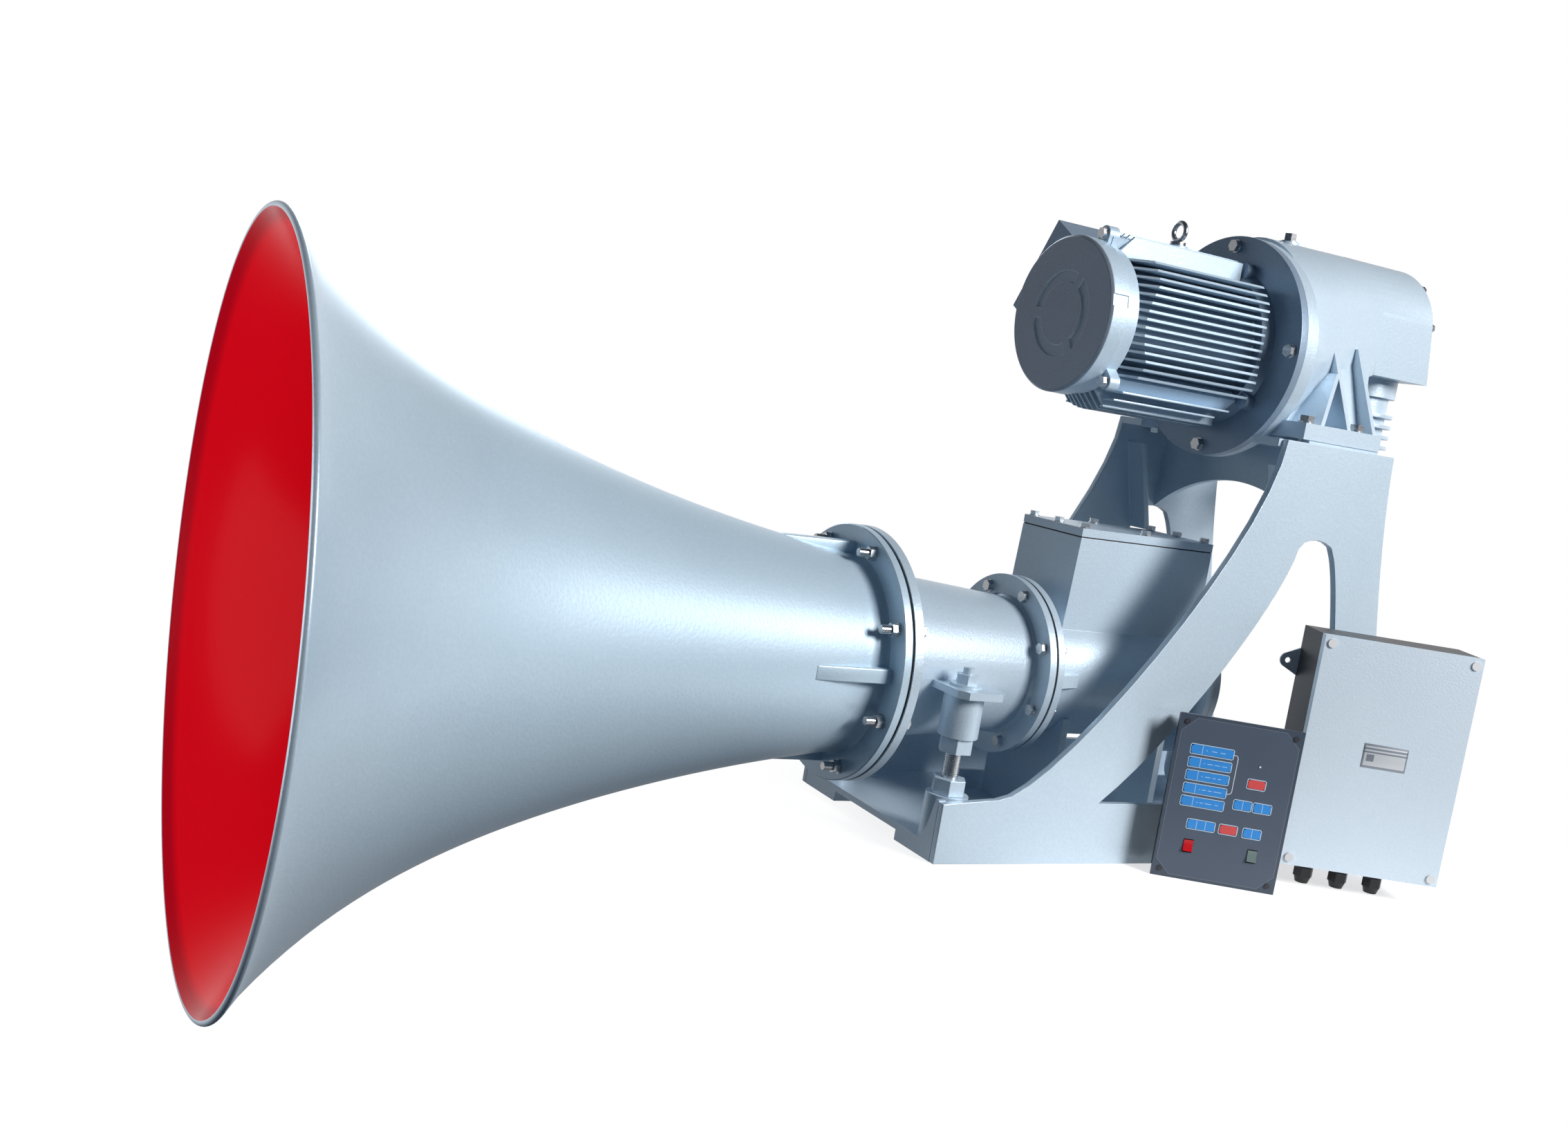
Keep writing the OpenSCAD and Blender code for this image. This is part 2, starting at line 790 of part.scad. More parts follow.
module far_cheek() {
  color("lightsteelblue")
    cheek(1);
}

module base_bolt_places() {
  for (x = [-base_bolt_dx / 2, base_bolt_dx / 2])
    for (y = [-base_bolt_dy / 2, base_bolt_dy / 2])
      translate([x, y, 0])
        children();
}

module base_tray() {
  rail_y = 100;
  saddle_w = 180;
  saddle_t = 12;
  lip = cheek_front_z - floor_top_z + 2;
  color("steelblue")
    difference() {
      union() {
        translate([base_front_x, -cheek_in_y, floor_z])
          cube([base_len, 2 * cheek_in_y, floor_t]);
        for (side = [-1, 1]) {
          translate([base_front_x, side > 0 ? cheek_in_y - foot_w : -cheek_in_y, 0])
            cube([base_len, foot_w, floor_z]);
          // corner plate that runs up to the side plate at the front
          translate([base_front_x, 0, floor_top_z])
            rotate([90, 0, 90])
              linear_extrude(cheek_t)
                polygon(concat([[side * cheek_in_y, -1], [side * cheek_in_y, lip]],
                  bezier([side * (cheek_in_y - 8), lip], [side * (cheek_in_y - 18), 30],
                     [side * (cheek_in_y - 22), 8], [side * (cheek_in_y - 40), -1], 8)));
          // rails along the tray
          translate([-240, side * rail_y - 4, floor_top_z - 1])
            cube([base_rear_x + 240 - cheek_t, 8, 34]);
        }
        jack_places()
          translate([0, 0, floor_top_z - 1])
            cylinder(h = jack_boss_z - floor_top_z + 1, r = jack_boss_r);
        // saddles under the sound box
        for (x = [barrel_x0 + 70, barrel_x1 - 60])
          translate([x, -saddle_w / 2, floor_top_z - 1])
            cube([saddle_t, saddle_w, horn_z - 66 - floor_top_z]);
        // cross plate at the rear
        translate([base_rear_x - cheek_t, -cheek_in_y, floor_top_z - 1])
          cube([cheek_t, 2 * cheek_in_y, 35]);
      }
      xcyl(barrel_x0 + 60, barrel_x1 - 40, barrel_r + 0.2, horn_z);
      base_bolt_places()
        translate([0, 0, -1])
          cylinder(h = floor_top_z + 2, r = base_hole_r, $fn = 48);
      jack_places()
        translate([0, 0, jack_boss_z - 32])
          cylinder(h = 40, r = jack_r + bolt_gap / 2, $fn = 48);
    }
}

foot_bolt_r = 7;
foot_bolt_y = cheek_in_y - 20;
module foot_bolt_places(side) {
  for (x = [foot_x0 + 20, foot_x1 - 38])
    translate([x, side * foot_bolt_y, 0])
      children();
}

module deck() {
  deck_x0 = case_flange_x1 + 5;
  deck_x1 = 304;
  seat_y = cheek_in_y - 96;
  strip_x0 = 62;
  strip_y = cheek_in_y - 57;
  web_x = 175;
  arch_r = (cheek_in_y * cheek_in_y + web_rise * web_rise) / (2 * web_rise);
  web_low_z = cheek_top_z - 150;
  color("steelblue")
    difference() {
      union() {
        translate([deck_x0, -cheek_in_y, cheek_top_z - deck_t])
          cube([deck_x1 - deck_x0, 2 * cheek_in_y, deck_t]);
        // strips that run forward beside the motor's flange
        for (side = [-1, 1])
          translate([strip_x0, side > 0 ? strip_y : -cheek_in_y, cheek_top_z - deck_t])
            cube([deck_x0 - strip_x0 + 1, cheek_in_y - strip_y, deck_t]);
        difference() {
          translate([web_x, -cheek_in_y, web_low_z])
            cube([web_t, 2 * cheek_in_y, cheek_top_z - deck_t - web_low_z + 1]);
          xcyl(web_x - 1, web_x + web_t + 1, arch_r, web_low_z + web_rise - arch_r);
        }
        for (side = [-1, 1])
          translate([deck_x0, side > 0 ? seat_y : -cheek_in_y, cheek_top_z])
            cube([foot_x1 - deck_x0, cheek_in_y - seat_y, pad_t]);
      }
      for (side = [-1, 1])
        foot_bolt_places(side)
          translate([0, 0, cheek_top_z - deck_t - 1])
            cylinder(h = deck_t + pad_t + 2, r = foot_bolt_r + bolt_gap, $fn = 36);
    }
}

// Gear case

module hood_arch(x0, x1) {
  intersection() {
    xcyl(x0, x1, hood_r, hood_z);
    translate([x0 - 1, -2 * hood_r, hood_floor_z])
      cube([x1 - x0 + 2, 4 * hood_r, 4 * hood_r]);
  }
  translate([x0, -hood_r, hood_floor_z])
    cube([x1 - x0, 2 * hood_r, hood_z - hood_floor_z]);
}

// Frame of the leaning rear face: x out of the face, z up along it
module on_cover() {
  translate([case_x1, 0, hood_floor_z])
    rotate([0, -cover_lean, 0])
      children();
}

// Outline of a slanting rib between the foot and the case, t along x
module rib_shape(t) {
  rotate([90, 0, 90])
    linear_extrude(t)
      polygon([[-foot_y + 6, 0], [foot_y - 6, 0], [pedestal_y - 4, motor_z + 31 - foot_z1],
          [4 - pedestal_y, motor_z + 31 - foot_z1]]);
}

module gear_case() {
  case_flange_r = motor_flange_r - 7;
  throat_r = case_flange_r - 5;
  body_r = 140;
  foot_z0 = cheek_top_z + pad_t;
  plug_x = 188;
  rib_t = 8;
  color("lightsteelblue")
    difference() {
      union() {
        xcyl(motor_flange_x1, motor_flange_x1 + 14, motor_flange_r, motor_z);
        xcyl(motor_flange_x1 + 14, case_flange_x1, case_flange_r, motor_z);
        // hood that narrows from the flange to the rear
        intersection() {
          translate([case_flange_x1 - 2, -200, foot_z0])
            cube([400, 400, 400]);
          union() {
            xcone(case_flange_x1 - 2, case_flange_x1 + 94, throat_r, throat_r - 56, motor_z);
            hull() {
              translate([case_flange_x1 - 2, 0, motor_z])
                rotate([0, 90, 0])
                  cylinder(h = 30, r = body_r, $fn = 48);
              translate([case_flange_x1 - 2, 0, hood_top_z - 2 - 130])
                rotate([0, 90, 0])
                  cylinder(h = 30, r = 130, $fn = 48);
              translate([pedestal_x1, -hood_r - 6, hood_floor_z])
                cube([20, 2 * hood_r + 12, 60]);
              translate([pedestal_x1, 0, hood_z])
                rotate([0, 90, 0])
                  cylinder(h = 20, r = hood_r, $fn = 48);
            }
          }
        }
        hood_arch(pedestal_x1 - 10, case_x1);
        // pedestal, foot and its slanting ribs
        translate([case_flange_x1 - 2, 0, foot_z0 + 1])
          rotate([90, 0, 90])
            linear_extrude(pedestal_x1 - case_flange_x1 + 2)
              polygon([[-pedestal_y, 0], [pedestal_y, 0],
                  [pedestal_y - 20, motor_z + 30 - foot_z0], [20 - pedestal_y, motor_z + 30 - foot_z0]]);
        translate([foot_x0, -foot_y, foot_z0])
          cube([foot_x1 - foot_x0, 2 * foot_y, foot_z1 - foot_z0]);
        for (x = [foot_x0 + 98, foot_x1 - 14])
          translate([x, 0, foot_z1 - 1])
            rib_shape(rib_t);
        // rib that leans back onto the one behind it
        intersection() {
          translate([foot_x0 + 30, 0, foot_z1 - 1])
            rib_shape(80);
          translate([0, 200, foot_z1 - 2])
            rotate([90, 0, 0])
              linear_extrude(400)
                polygon([[foot_x0 + 37, 0], [foot_x0 + 37 + rib_t, 0],
                    [foot_x0 + 99 + rib_t / 2, motor_z - foot_z1 - 16],
                    [foot_x0 + 99 - rib_t / 2, motor_z - foot_z1 - 16]]);
        }
        // sloping side between the ribs
        translate([foot_x0 + 112, 0, foot_z1 - 1])
          rotate([90, 0, 90])
            linear_extrude(foot_x1 - foot_x0 - 120)
              polygon([[-foot_y + 36, 0], [foot_y - 36, 0], [pedestal_y - 12, motor_z + 12 - foot_z1],
                  [12 - pedestal_y, motor_z + 12 - foot_z1]]);
        // boss of the oil filler
        translate([plug_x, 0, hood_top_z - 40])
          cylinder(h = 42, r = 18);
      }
      // opening for the pinion and its shaft
      xcyl(motor_flange_x1 - 1, gear_chamber_x0 + 1, 46, motor_z);
      xcyl(gear_chamber_x0, gear_chamber_x1, 42, motor_z);
      xcyl(gear_chamber_x0, gear_chamber_x1, 72, crank_z);
      // bearing seats and the tunnel between them
      xcyl(gear_chamber_x1 - 1, gear_chamber_x1 + bearing_w, crank_bearing_r, crank_z);
      xcyl(gear_chamber_x1 + bearing_w + 4, crank_bearing_x[1] - 4, 60, crank_z);
      xcyl(gear_chamber_x1, crank_chamber_x0, crank_r + 6, crank_z);
      xcyl(crank_bearing_x[1], crank_bearing_x[1] + bearing_w, crank_bearing_r, crank_z);
      // crank chamber, open at the leaning rear face and over the pump
      on_cover()
        translate([0, -200, -50])
          cube([200, 400, 400]);
      xcyl(crank_bearing_x[1] + bearing_w, case_x1 + 1, 76, crank_z);
      translate([crank_chamber_x0 + 6, -52, hood_floor_z + hood_floor_t])
        cube([case_x1 - crank_chamber_x0, 104, crank_z - hood_floor_z - hood_floor_t]);
      translate([pump_x, 0, hood_floor_z - 1])
        cylinder(h = hood_floor_t + 2, r = pump_bore_r);
      around(4, motor_bolt_pcr, 0, motor_z)
        xcyl(motor_flange_x1 - 1, case_flange_x1 + 1, flange_bolt_r + 1 + bolt_gap);
      for (side = [-1, 1])
        foot_bolt_places(side)
          translate([0, 0, foot_z0 - 1])
            cylinder(h = foot_z1 - foot_z0 + 40, r = foot_bolt_r + bolt_gap, $fn = 36);
      translate([plug_x, 0, hood_top_z - 30])
        cylinder(h = 40, r = 8 + bolt_gap, $fn = 36);
      cover_bolt_places()
        xcyl(-16, 1, lid_bolt_r + bolt_gap);
      pump_bolt_places()
        translate([0, 0, hood_floor_z - 1])
          cylinder(h = hood_floor_t + 2, r = pump_bolt_r + bolt_gap, $fn = 24);
    }
}

module cover_bolt_places() {
  on_cover()
    at_angles([0, 180, 225, 270, 315], cover_bolt_r, (hood_z - hood_floor_z) / cos(cover_lean))
      children();
}

module case_cover() {
  color("lightsteelblue")
    difference() {
      union() {
        intersection() {
          hood_arch(case_x1 - 60, case_x1 + 60);
          on_cover()
            translate([0, -200, -50])
              cube([cover_t, 400, 400]);
        }
        on_cover()
          xcyl(0, cover_t + 6, 40, (crank_z - hood_floor_z) / cos(cover_lean));
      }
      cover_bolt_places()
        xcyl(-1, cover_t + 1, lid_bolt_r + bolt_gap);
    }
}

module case_bolts() {
  foot_z0 = cheek_top_z + pad_t;
  color("silver") {
    for (side = [-1, 1])
      foot_bolt_places(side) {
        translate([0, 0, cheek_top_z - 20])
          cylinder(h = foot_z1 - cheek_top_z + 24, r = foot_bolt_r, $fn = 36);
        translate([0, 0, foot_z1])
          cylinder(h = 3, r = 13, $fn = 36);
        hex_z(foot_z1 + 3, foot_z1 + 12, 22);
        hex_z(cheek_top_z - deck_t - 8, cheek_top_z - deck_t, 22);
      }
    pump_bolt_places() {
      translate([0, 0, pump_z1 - 18])
        cylinder(h = hood_floor_t + 20, r = pump_bolt_r, $fn = 24);
      hex_z(hood_floor_z + hood_floor_t, hood_floor_z + hood_floor_t + 5, 10);
    }
    cover_bolt_places()
      mirror([1, 0, 0])
        bolt_x(-cover_t, 14, lid_bolt_r, 13, 6);
  }
}

module oil_plug() {
  z0 = hood_top_z + 2;
  color("silver")
    translate([188, 0, 0]) {
      translate([0, 0, z0 - 20])
        cylinder(h = 22, r = 8, $fn = 36);
      translate([0, 0, z0])
        cylinder(h = 2, r = 14);
      hex_z(z0 + 2, z0 + 14, 19);
    }
}

// Motor

module motor_flange() {
  color("slategray")
    difference() {
      union() {
        xcyl(shield_x1, motor_flange_x1, motor_flange_r, motor_z);
        xcone(fins_x1 + 2, shield_x1, 118, 128, motor_z);
        at_angles([-70, 42, 138, 250], 129, motor_z)
          xcyl(fins_x1 + 4, shield_x1 + 1, 13);
      }
      xcyl(fins_x1, shield_x1 - 6, 90, motor_z);
      xcyl(fins_x1, motor_flange_x1 - 4, motor_bearing_r, motor_z);
      xcyl(fins_x1, motor_flange_x1 + 1, shaft_r + 4, motor_z);
      around(4, motor_bolt_pcr, 0, motor_z)
        xcyl(shield_x1 - 1, motor_flange_x1 + 1, flange_bolt_r + 1 + bolt_gap);
    }
}

module motor_bolts() {
  color("silver") {
    around(4, motor_bolt_pcr, 0, motor_z)
      bolt_x(shield_x1, case_flange_x1 - 4, flange_bolt_r + 1, 18, 8);
    at_angles(lug_angles, lug_pcr, motor_z)
      bolt_x(cap_x1 + 2, cap_x1 + 16, flange_bolt_r, 15, 7);
    terminal_frame()
      terminal_screw_places() {
        translate([0, 0, term_reach - 9])
          cylinder(h = 12, r = 2.5, $fn = 24);
        translate([0, 0, term_reach])
          cylinder(h = 3, r = 5, $fn = 36);
      }
  }
}

module fin_set() {
  for (i = [-fins_down : fins_up - 1])
    translate([fins_x0, -fin_r, (i + 0.5) * fin_pitch - fin_t / 2])
      cube([fins_x1 - fins_x0, 2 * fin_r, fin_t]);
  for (i = [0 : top_fins - 1])
    translate([fins_x0, (i - (top_fins - 1) / 2) * fin_pitch - fin_t / 2, -fin_r - 1])
      cube([fins_x1 - fins_x0, fin_t, 2 * fin_r + 2]);
}

// Room for the terminal box above its seat
module terminal_room() {
  rotate([term_tilt, 0, 0])
    translate([term_x0 - 3, term_reach - 46, -term_w / 2 - 3])
      cube([term_len + 6, 60, term_w + 6]);
}

module motor_housing() {
  ring_r = cap_r - 5;
  color("lightsteelblue")
    difference() {
      union() {
        xcyl(cap_x1, fins_x1 + 2, shell_r, motor_z);
        xcyl(cap_x1, fins_x0 + 1, ring_r, motor_z);
        // fins cut to the motor's rounded outline and sloped at the front
        translate([0, 0, motor_z])
          intersection() {
            fin_set();
            translate([fins_x0, -fin_side, -fin_r])
              cube([fins_x1 - fins_x0, 2 * fin_side, 2 * fin_r]);
            translate([fins_x0, 0, 0])
              rotate([0, 90, 0])
                rotate_extrude()
                  polygon([[0, 0], [ring_r - 4, 0], [fin_r, fin_slope],
                      [fin_r, fins_x1 - fins_x0], [0, fins_x1 - fins_x0]]);
          }
        // flat bands at the lower corners and the rail beside the top
        at_angles([50, 130], shell_r - 4, motor_z)
          translate([fins_x0 + 8, -25, -13])
            cube([fins_x1 - fins_x0 - 11, 25, 26]);
        at_angles([-76], shell_r - 4, motor_z)
          translate([fins_x0 - 12, -32, -10])
            cube([fins_x1 - fins_x0 + 9, 32, 20]);
        at_angles(lug_angles, lug_pcr, motor_z)
          translate([cap_x1 + 2, 0, 0]) {
            xcyl(0, 19, 13);
            translate([0, 0, -13])
              cube([19, 24, 26]);
          }
        // seat of the terminal box and of the lifting eye
        translate([0, 0, motor_z])
          rotate([term_tilt, 0, 0])
            translate([term_x0 + 16, 0, -52])
              cube([term_len - 30, term_reach - 46, 104]);
        translate([-48, 0, motor_z])
          cylinder(h = fin_r + 2, r = 17);
      }
      translate([0, 0, motor_z])
        terminal_room();
      xcyl(cap_x1 + 30, fins_x1 + 3, shell_bore_r, motor_z);
      xcyl(cap_x1 - 1, cap_x1 + 31, shaft_r + 3, motor_z);
      xcyl(cap_x1 + 12, cap_x1 + 31, motor_bearing_r - 5, motor_z);
      at_angles(lug_angles, lug_pcr, motor_z)
        xcyl(cap_x1 + 1, cap_x1 + 18, flange_bolt_r + bolt_gap);
      translate([-48, 0, motor_z + fin_r - 22])
        cylinder(h = 30, r = eye_bar_r + bolt_gap, $fn = 36);
      // way for the leads into the terminal box
      translate([0, 0, motor_z])
        rotate([term_tilt, 0, 0])
          translate([term_x0 + term_len / 2, shell_bore_r - 20, 0])
            rotate([-90, 0, 0])
              cylinder(h = term_reach, r = 16, $fn = 36);
    }
}

module end_cap() {
  mark_r = cap_r * 0.55;
  mark_w = 18;
  color("dimgray")
    difference() {
      union() {
        xcyl(cap_x + 4, cap_x1, cap_r, motor_z);
        xcone(cap_x, cap_x + 4, cap_r - 4, cap_r, motor_z);
      }
      xcyl(cap_x + 6, cap_x1 + 1, cap_r - 6, motor_z);
      // groove behind the rim and the slot on the near side
      xring(cap_x1 - 1.6, cap_x1 + 1, cap_r + 1, cap_r - 3, motor_z);
      at_angles([-12], cap_r - 3, motor_z)
        translate([cap_x + 3, -6, -9])
          cube([cap_len, 6, 18]);
      // three sunk arcs on the face
      difference() {
        xring(cap_x - 1, cap_x + 2.5, mark_r, mark_r - mark_w, motor_z);
        at_angles([60, 180, 300], mark_r + 2, motor_z)
          translate([cap_x - 2, 0, -8])
            cube([6, mark_w + 6, 16]);
      }
    }
}

module stator_core() {
  color("gray")
    difference() {
      xcyl(core_x0, core_x1, shell_bore_r, motor_z);
      xcyl(core_x0 - 1, core_x1 + 1, rotor_r + air_gap, motor_z);
    }
}

function involute_deg(a) = tan(a) * 180 / PI - a;
function tooth_half(r, n) =
  let (pitch_r = gear_module * n / 2, base_r = pitch_r * cos(20))
    90 / n - backlash / 4 / pitch_r * 180 / PI
      + involute_deg(20) - involute_deg(acos(min(1, base_r / r)));
function gear_points(n, turn = 0) =
  let (pitch_r = gear_module * n / 2, base_r = pitch_r * cos(20),
    root_r = pitch_r - 1.25 * gear_module, tip_r = pitch_r + gear_module,
    low_r = max(base_r, root_r + 0.1),
    steps = [low_r, (low_r + pitch_r) / 2, pitch_r, (pitch_r + tip_r) / 2, tip_r])
    [for (i = [0 : n - 1])
      let (c = i * 360 / n + turn)
        each concat(
          [root_r * [cos(c - tooth_half(low_r, n)), sin(c - tooth_half(low_r, n))]],
          [for (r = steps) r * [cos(c - tooth_half(r, n)), sin(c - tooth_half(r, n))]],
          [for (k = [4 : -1 : 0])
            steps[k] * [cos(c + tooth_half(steps[k], n)), sin(c + tooth_half(steps[k], n))]],
          [root_r * [cos(c + tooth_half(low_r, n)), sin(c + tooth_half(low_r, n))]])];

// Shaft, core and pinion in one piece
module rotor() {
  color("darkgray") {
    xcyl(cap_x1 + 4, gear_x0 + gear_w + 2, shaft_r - 2, motor_z);
    xcyl(cap_x1 + 12, motor_flange_x1 + 10, shaft_r, motor_z);
    xcyl(core_x0, core_x1, rotor_r, motor_z);
    translate([gear_x0 - 2, 0, motor_z])
      rotate([0, 90, 0])
        linear_extrude(gear_w + 4)
          polygon(gear_points(pinion_teeth));
  }
}

module bearings() {
  color("silver") {
    xring(cap_x1 + 12, cap_x1 + 28, motor_bearing_r - 5, shaft_r + run_gap, motor_z);
    xring(motor_flange_x1 - 4 - bearing_w, motor_flange_x1 - 4, motor_bearing_r,
       shaft_r + run_gap, motor_z);
    for (x = crank_bearing_x)
      xring(x, x + bearing_w, crank_bearing_r, crank_r + run_gap, crank_z);
  }
}

module terminal_frame() {
  translate([0, 0, motor_z])
    rotate([term_tilt, 0, 0])
      children();
}

module terminal_box() {
  seat = term_reach - 46;
  color("slategray")
    terminal_frame()
      difference() {
        translate([term_x0, seat, -term_w / 2])
          cube([term_len, 34, term_w]);
        translate([term_x0 + 6, seat + 6, -term_w / 2 + 6])
          cube([term_len - 12, 40, term_w - 12]);
        translate([term_x0 + term_len / 2, seat - 1, 0])
          rotate([-90, 0, 0])
            cylinder(h = 10, r = 16, $fn = 36);
        // entry of the supply cable, on the lower side
        translate([term_x0 + 34, seat + 18, -term_w / 2 - 1])
          cylinder(h = 8, r = 10, $fn = 36);
      }
}

module terminal_screw_places() {
  for (x = [term_x0 + 9, term_x0 + term_len - 9])
    for (z = [-term_w / 2 + 9, term_w / 2 - 9])
      translate([x, 0, z])
        rotate([-90, 0, 0])
          children();
}

module terminal_lid() {
  color("slategray")
    terminal_frame()
      difference() {
        translate([term_x0, term_reach - 12, -term_w / 2])
          cube([term_len, 12, term_w]);
        terminal_screw_places()
          translate([0, 0, term_reach - 10])
            cylinder(h = 12, r = 2.5 + bolt_gap, $fn = 24);
      }
}

module lifting_eye() {
  z0 = motor_z + fin_r + 2;
  color("silver")
    translate([-48, 0, z0]) {
      translate([0, 0, -20])
        cylinder(h = 22, r = eye_bar_r, $fn = 36);
      cylinder(h = 6, r = 13, $fn = 48);
      translate([0, 0, eye_r + 5])
        rotate([0, 90, 0])
          rotate_extrude($fn = 60)
            translate([eye_r - eye_bar_r, 0])
              circle(r = eye_bar_r, $fn = 24);
    }
}

// Crank drive of the pump

module crank_gear() {
  color("darkgray")
    translate([gear_x0, 0, crank_z])
      rotate([0, 90, 0])
        difference() {
          linear_extrude(gear_w)
            polygon(gear_points(gear_teeth, 180 / gear_teeth));
          translate([0, 0, -1])
            cylinder(h = gear_w + 2, r = crank_r - 2.5);
          for (i = [0 : 4])
            rotate([0, 0, i * 72])
              translate([35, 0, -1])
                cylinder(h = gear_w + 2, r = 9, $fn = 36);
        }
}

module crankshaft() {
  color("silver") {
    xcyl(gear_x0 - 6, gear_x0 + gear_w + 0.5, crank_r - 2.5, crank_z);
    xcyl(gear_x0 + gear_w, crank_disc_x0 + 1, crank_r, crank_z);
    difference() {
      xcyl(crank_disc_x0, crank_disc_x0 + crank_disc_t, 46, crank_z);
      // the web is cut away beside the pin to balance it
      for (side = [-1, 1])
        translate([crank_disc_x0 - 1, side > 0 ? 17 : -60, crank_z - 60])
          cube([crank_disc_t + 2, 43, 52]);
    }
    xcyl(crank_disc_x0 + crank_disc_t - 1, pin_x1, pin_r, crank_pin_z);
  }
}

module connecting_rod() {
  small_r = 13;
  big_r = pin_r + 9;
  pin_len = 34;
  color("gainsboro")
    difference() {
      union() {
        xcyl(pump_x - rod_t / 2, pump_x + rod_t / 2, big_r, crank_pin_z);
        xcyl(pump_x - rod_t / 2 + 2, pump_x + rod_t / 2 - 2, small_r, wrist_z);
        translate([pump_x - 6, -9, wrist_z])
          cube([12, 18, rod_len]);
        xcyl(pump_x - pin_len / 2, pump_x + pin_len / 2, 8, wrist_z);
      }
      xcyl(pump_x - rod_t, pump_x + rod_t, pin_r + run_gap, crank_pin_z);
    }
}

module pump_piston() {
  r = pump_bore_r - run_gap - 0.02;
  color("gainsboro")
    translate([pump_x, 0, piston_crown_z])
      difference() {
        cylinder(h = piston_top_z - piston_crown_z, r = r);
        translate([0, 0, 8])
          cylinder(h = piston_top_z, r = r - piston_wall);
        for (i = [0 : 1])
          translate([0, 0, 12 + 8 * i])
            rotate_extrude()
              translate([r - 1.2, 0])
                square([3, 3]);
      }
}

module pump_bolt_places() {
  for (a = [60, 120, 240, 300])
    translate([pump_x, 0, 0])
      rotate([0, 0, a])
        translate([pump_bore_r + 8, 0, 0])
          children();
}

module pump_cylinder() {
  fins = floor((pump_len - 50) / pump_fin_pitch);
  color("slategray")
    difference() {
      union() {
        translate([pump_x, 0, pump_z0])
          cylinder(h = pump_len, r = pump_barrel_r);
        translate([pump_x, 0, pump_z1 - 32])
          cylinder(h = 32, r = pump_fin_r - 2);
        for (i = [0 : fins])
          translate([pump_x, 0, pump_z0 + i * pump_fin_pitch])
            cylinder(h = 6, r = pump_fin_r);
      }
      translate([pump_x, 0, pump_z0 - 1])
        cylinder(h = pump_len + 2, r = pump_bore_r);
      pump_bolt_places()
        translate([0, 0, pump_z1 - 20])
          cylinder(h = 21, r = pump_bolt_r + bolt_gap, $fn = 24);
    }
}

module pump_head() {
  color("slategray")
    difference() {
      union() {
        translate([pump_x, 0, head_z0])
          cylinder(h = head_h, r = pump_barrel_r);
        for (i = [0 : 1])
          translate([pump_x, 0, head_z0 + 4 + i * pump_fin_pitch])
            cylinder(h = 6, r = pump_fin_r);
        translate([head_face_x, -22, head_z0])
          cube([pump_fin_r, 44, 28]);
      }
      translate([pump_x, 0, head_z0 + 10])
        cylinder(h = head_h, r = pump_bore_r - 10);
      xcyl(head_face_x - 1, pump_x, pipe_bore_r, pipe_z);
      // air intake under the head
      translate([pump_x + 14, 0, head_z0 - 1])
        cylinder(h = 12, r = intake_r, $fn = 36);
    }
}

// Air pipe: from the pump's head down behind the near side plate, then to the rear cover

function pipe_path() = [
  [head_face_x, 0, pipe_z], [pipe_rear_x, 0, pipe_z], [pipe_rear_x, -pipe_side_y, pipe_z],
  [pipe_rear_x, -pipe_side_y, pipe_low_z], [pipe_front_x, -pipe_side_y, pipe_low_z],
  [pipe_front_x, 0, pipe_low_z], [pipe_front_x, 0, horn_z], [cover_face_x, 0, horn_z]];

module pipe_bend(p, a, b) {
  c = p - pipe_bend_r * a + pipe_bend_r * b;
  n = cross(a, b);
  multmatrix([[-b[0], a[0], n[0], c[0]], [-b[1], a[1], n[1], c[1]],
        [-b[2], a[2], n[2], c[2]], [0, 0, 0, 1]])
    rotate_extrude(angle = 90, $fn = 60)
      translate([pipe_bend_r, 0])
        difference() {
          circle(r = pipe_r, $fn = 36);
          circle(r = pipe_bore_r, $fn = 36);
        }
}

module pipe_run(p, q) {
  d = q - p;
  translate(p)
    rotate([0, acos(d[2] / norm(d)), atan2(d[1], d[0])])
      difference() {
        cylinder(h = norm(d), r = pipe_r);
        translate([0, 0, -1])
          cylinder(h = norm(d) + 2, r = pipe_bore_r);
      }
}

module air_pipe() {
  path = pipe_path();
  last = len(path) - 1;
  dirs = [for (i = [0 : last - 1]) (path[i + 1] - path[i]) / norm(path[i + 1] - path[i])];
  color("lightsteelblue") {
    for (i = [0 : last - 1])
      pipe_run(path[i] + (i > 0 ? pipe_bend_r : 0) * dirs[i],
          path[i + 1] - (i < last - 1 ? pipe_bend_r : 0) * dirs[i]);
    for (i = [1 : last - 1])
      pipe_bend(path[i], dirs[i - 1], dirs[i]);
    xring(cover_face_x, cover_face_x + 8, pipe_r + 14, pipe_bore_r, horn_z);
  }
}

// Control panel; its own frame has the front face at y = 0 and y into the case

module on_panel() {
  translate(panel_at)
    rotate([0, 0, panel_yaw])
      children();
}

function key_rows() = [203.8, 183.5, 163.2, 142.9, 122.6];
key_x = 56.5;
module key_pocket(x, z, w) {
  translate([x - w / 2 - key_gap, -1, z - key_h / 2 - key_gap])
    cube([w + 2 * key_gap, face_t - 1, key_h + 2 * key_gap]);
}

module key_cap(x, z, w, tint) {
  corner = 2.5;
  color(tint)
    on_panel()
      translate([x, face_t - 2 - key_travel - 0.2, z])
        rotate([90, 0, 0])
          linear_extrude(face_t - 2 - key_travel - 0.2 + key_proud)
            polygon([[-w / 2 + corner, -key_h / 2], [w / 2 - corner, -key_h / 2],
                [w / 2, -key_h / 2 + corner], [w / 2, key_h / 2 - corner],
                [w / 2 - corner, key_h / 2], [-w / 2 + corner, key_h / 2],
                [-w / 2, key_h / 2 - corner], [-w / 2, -key_h / 2 + corner]]);
}

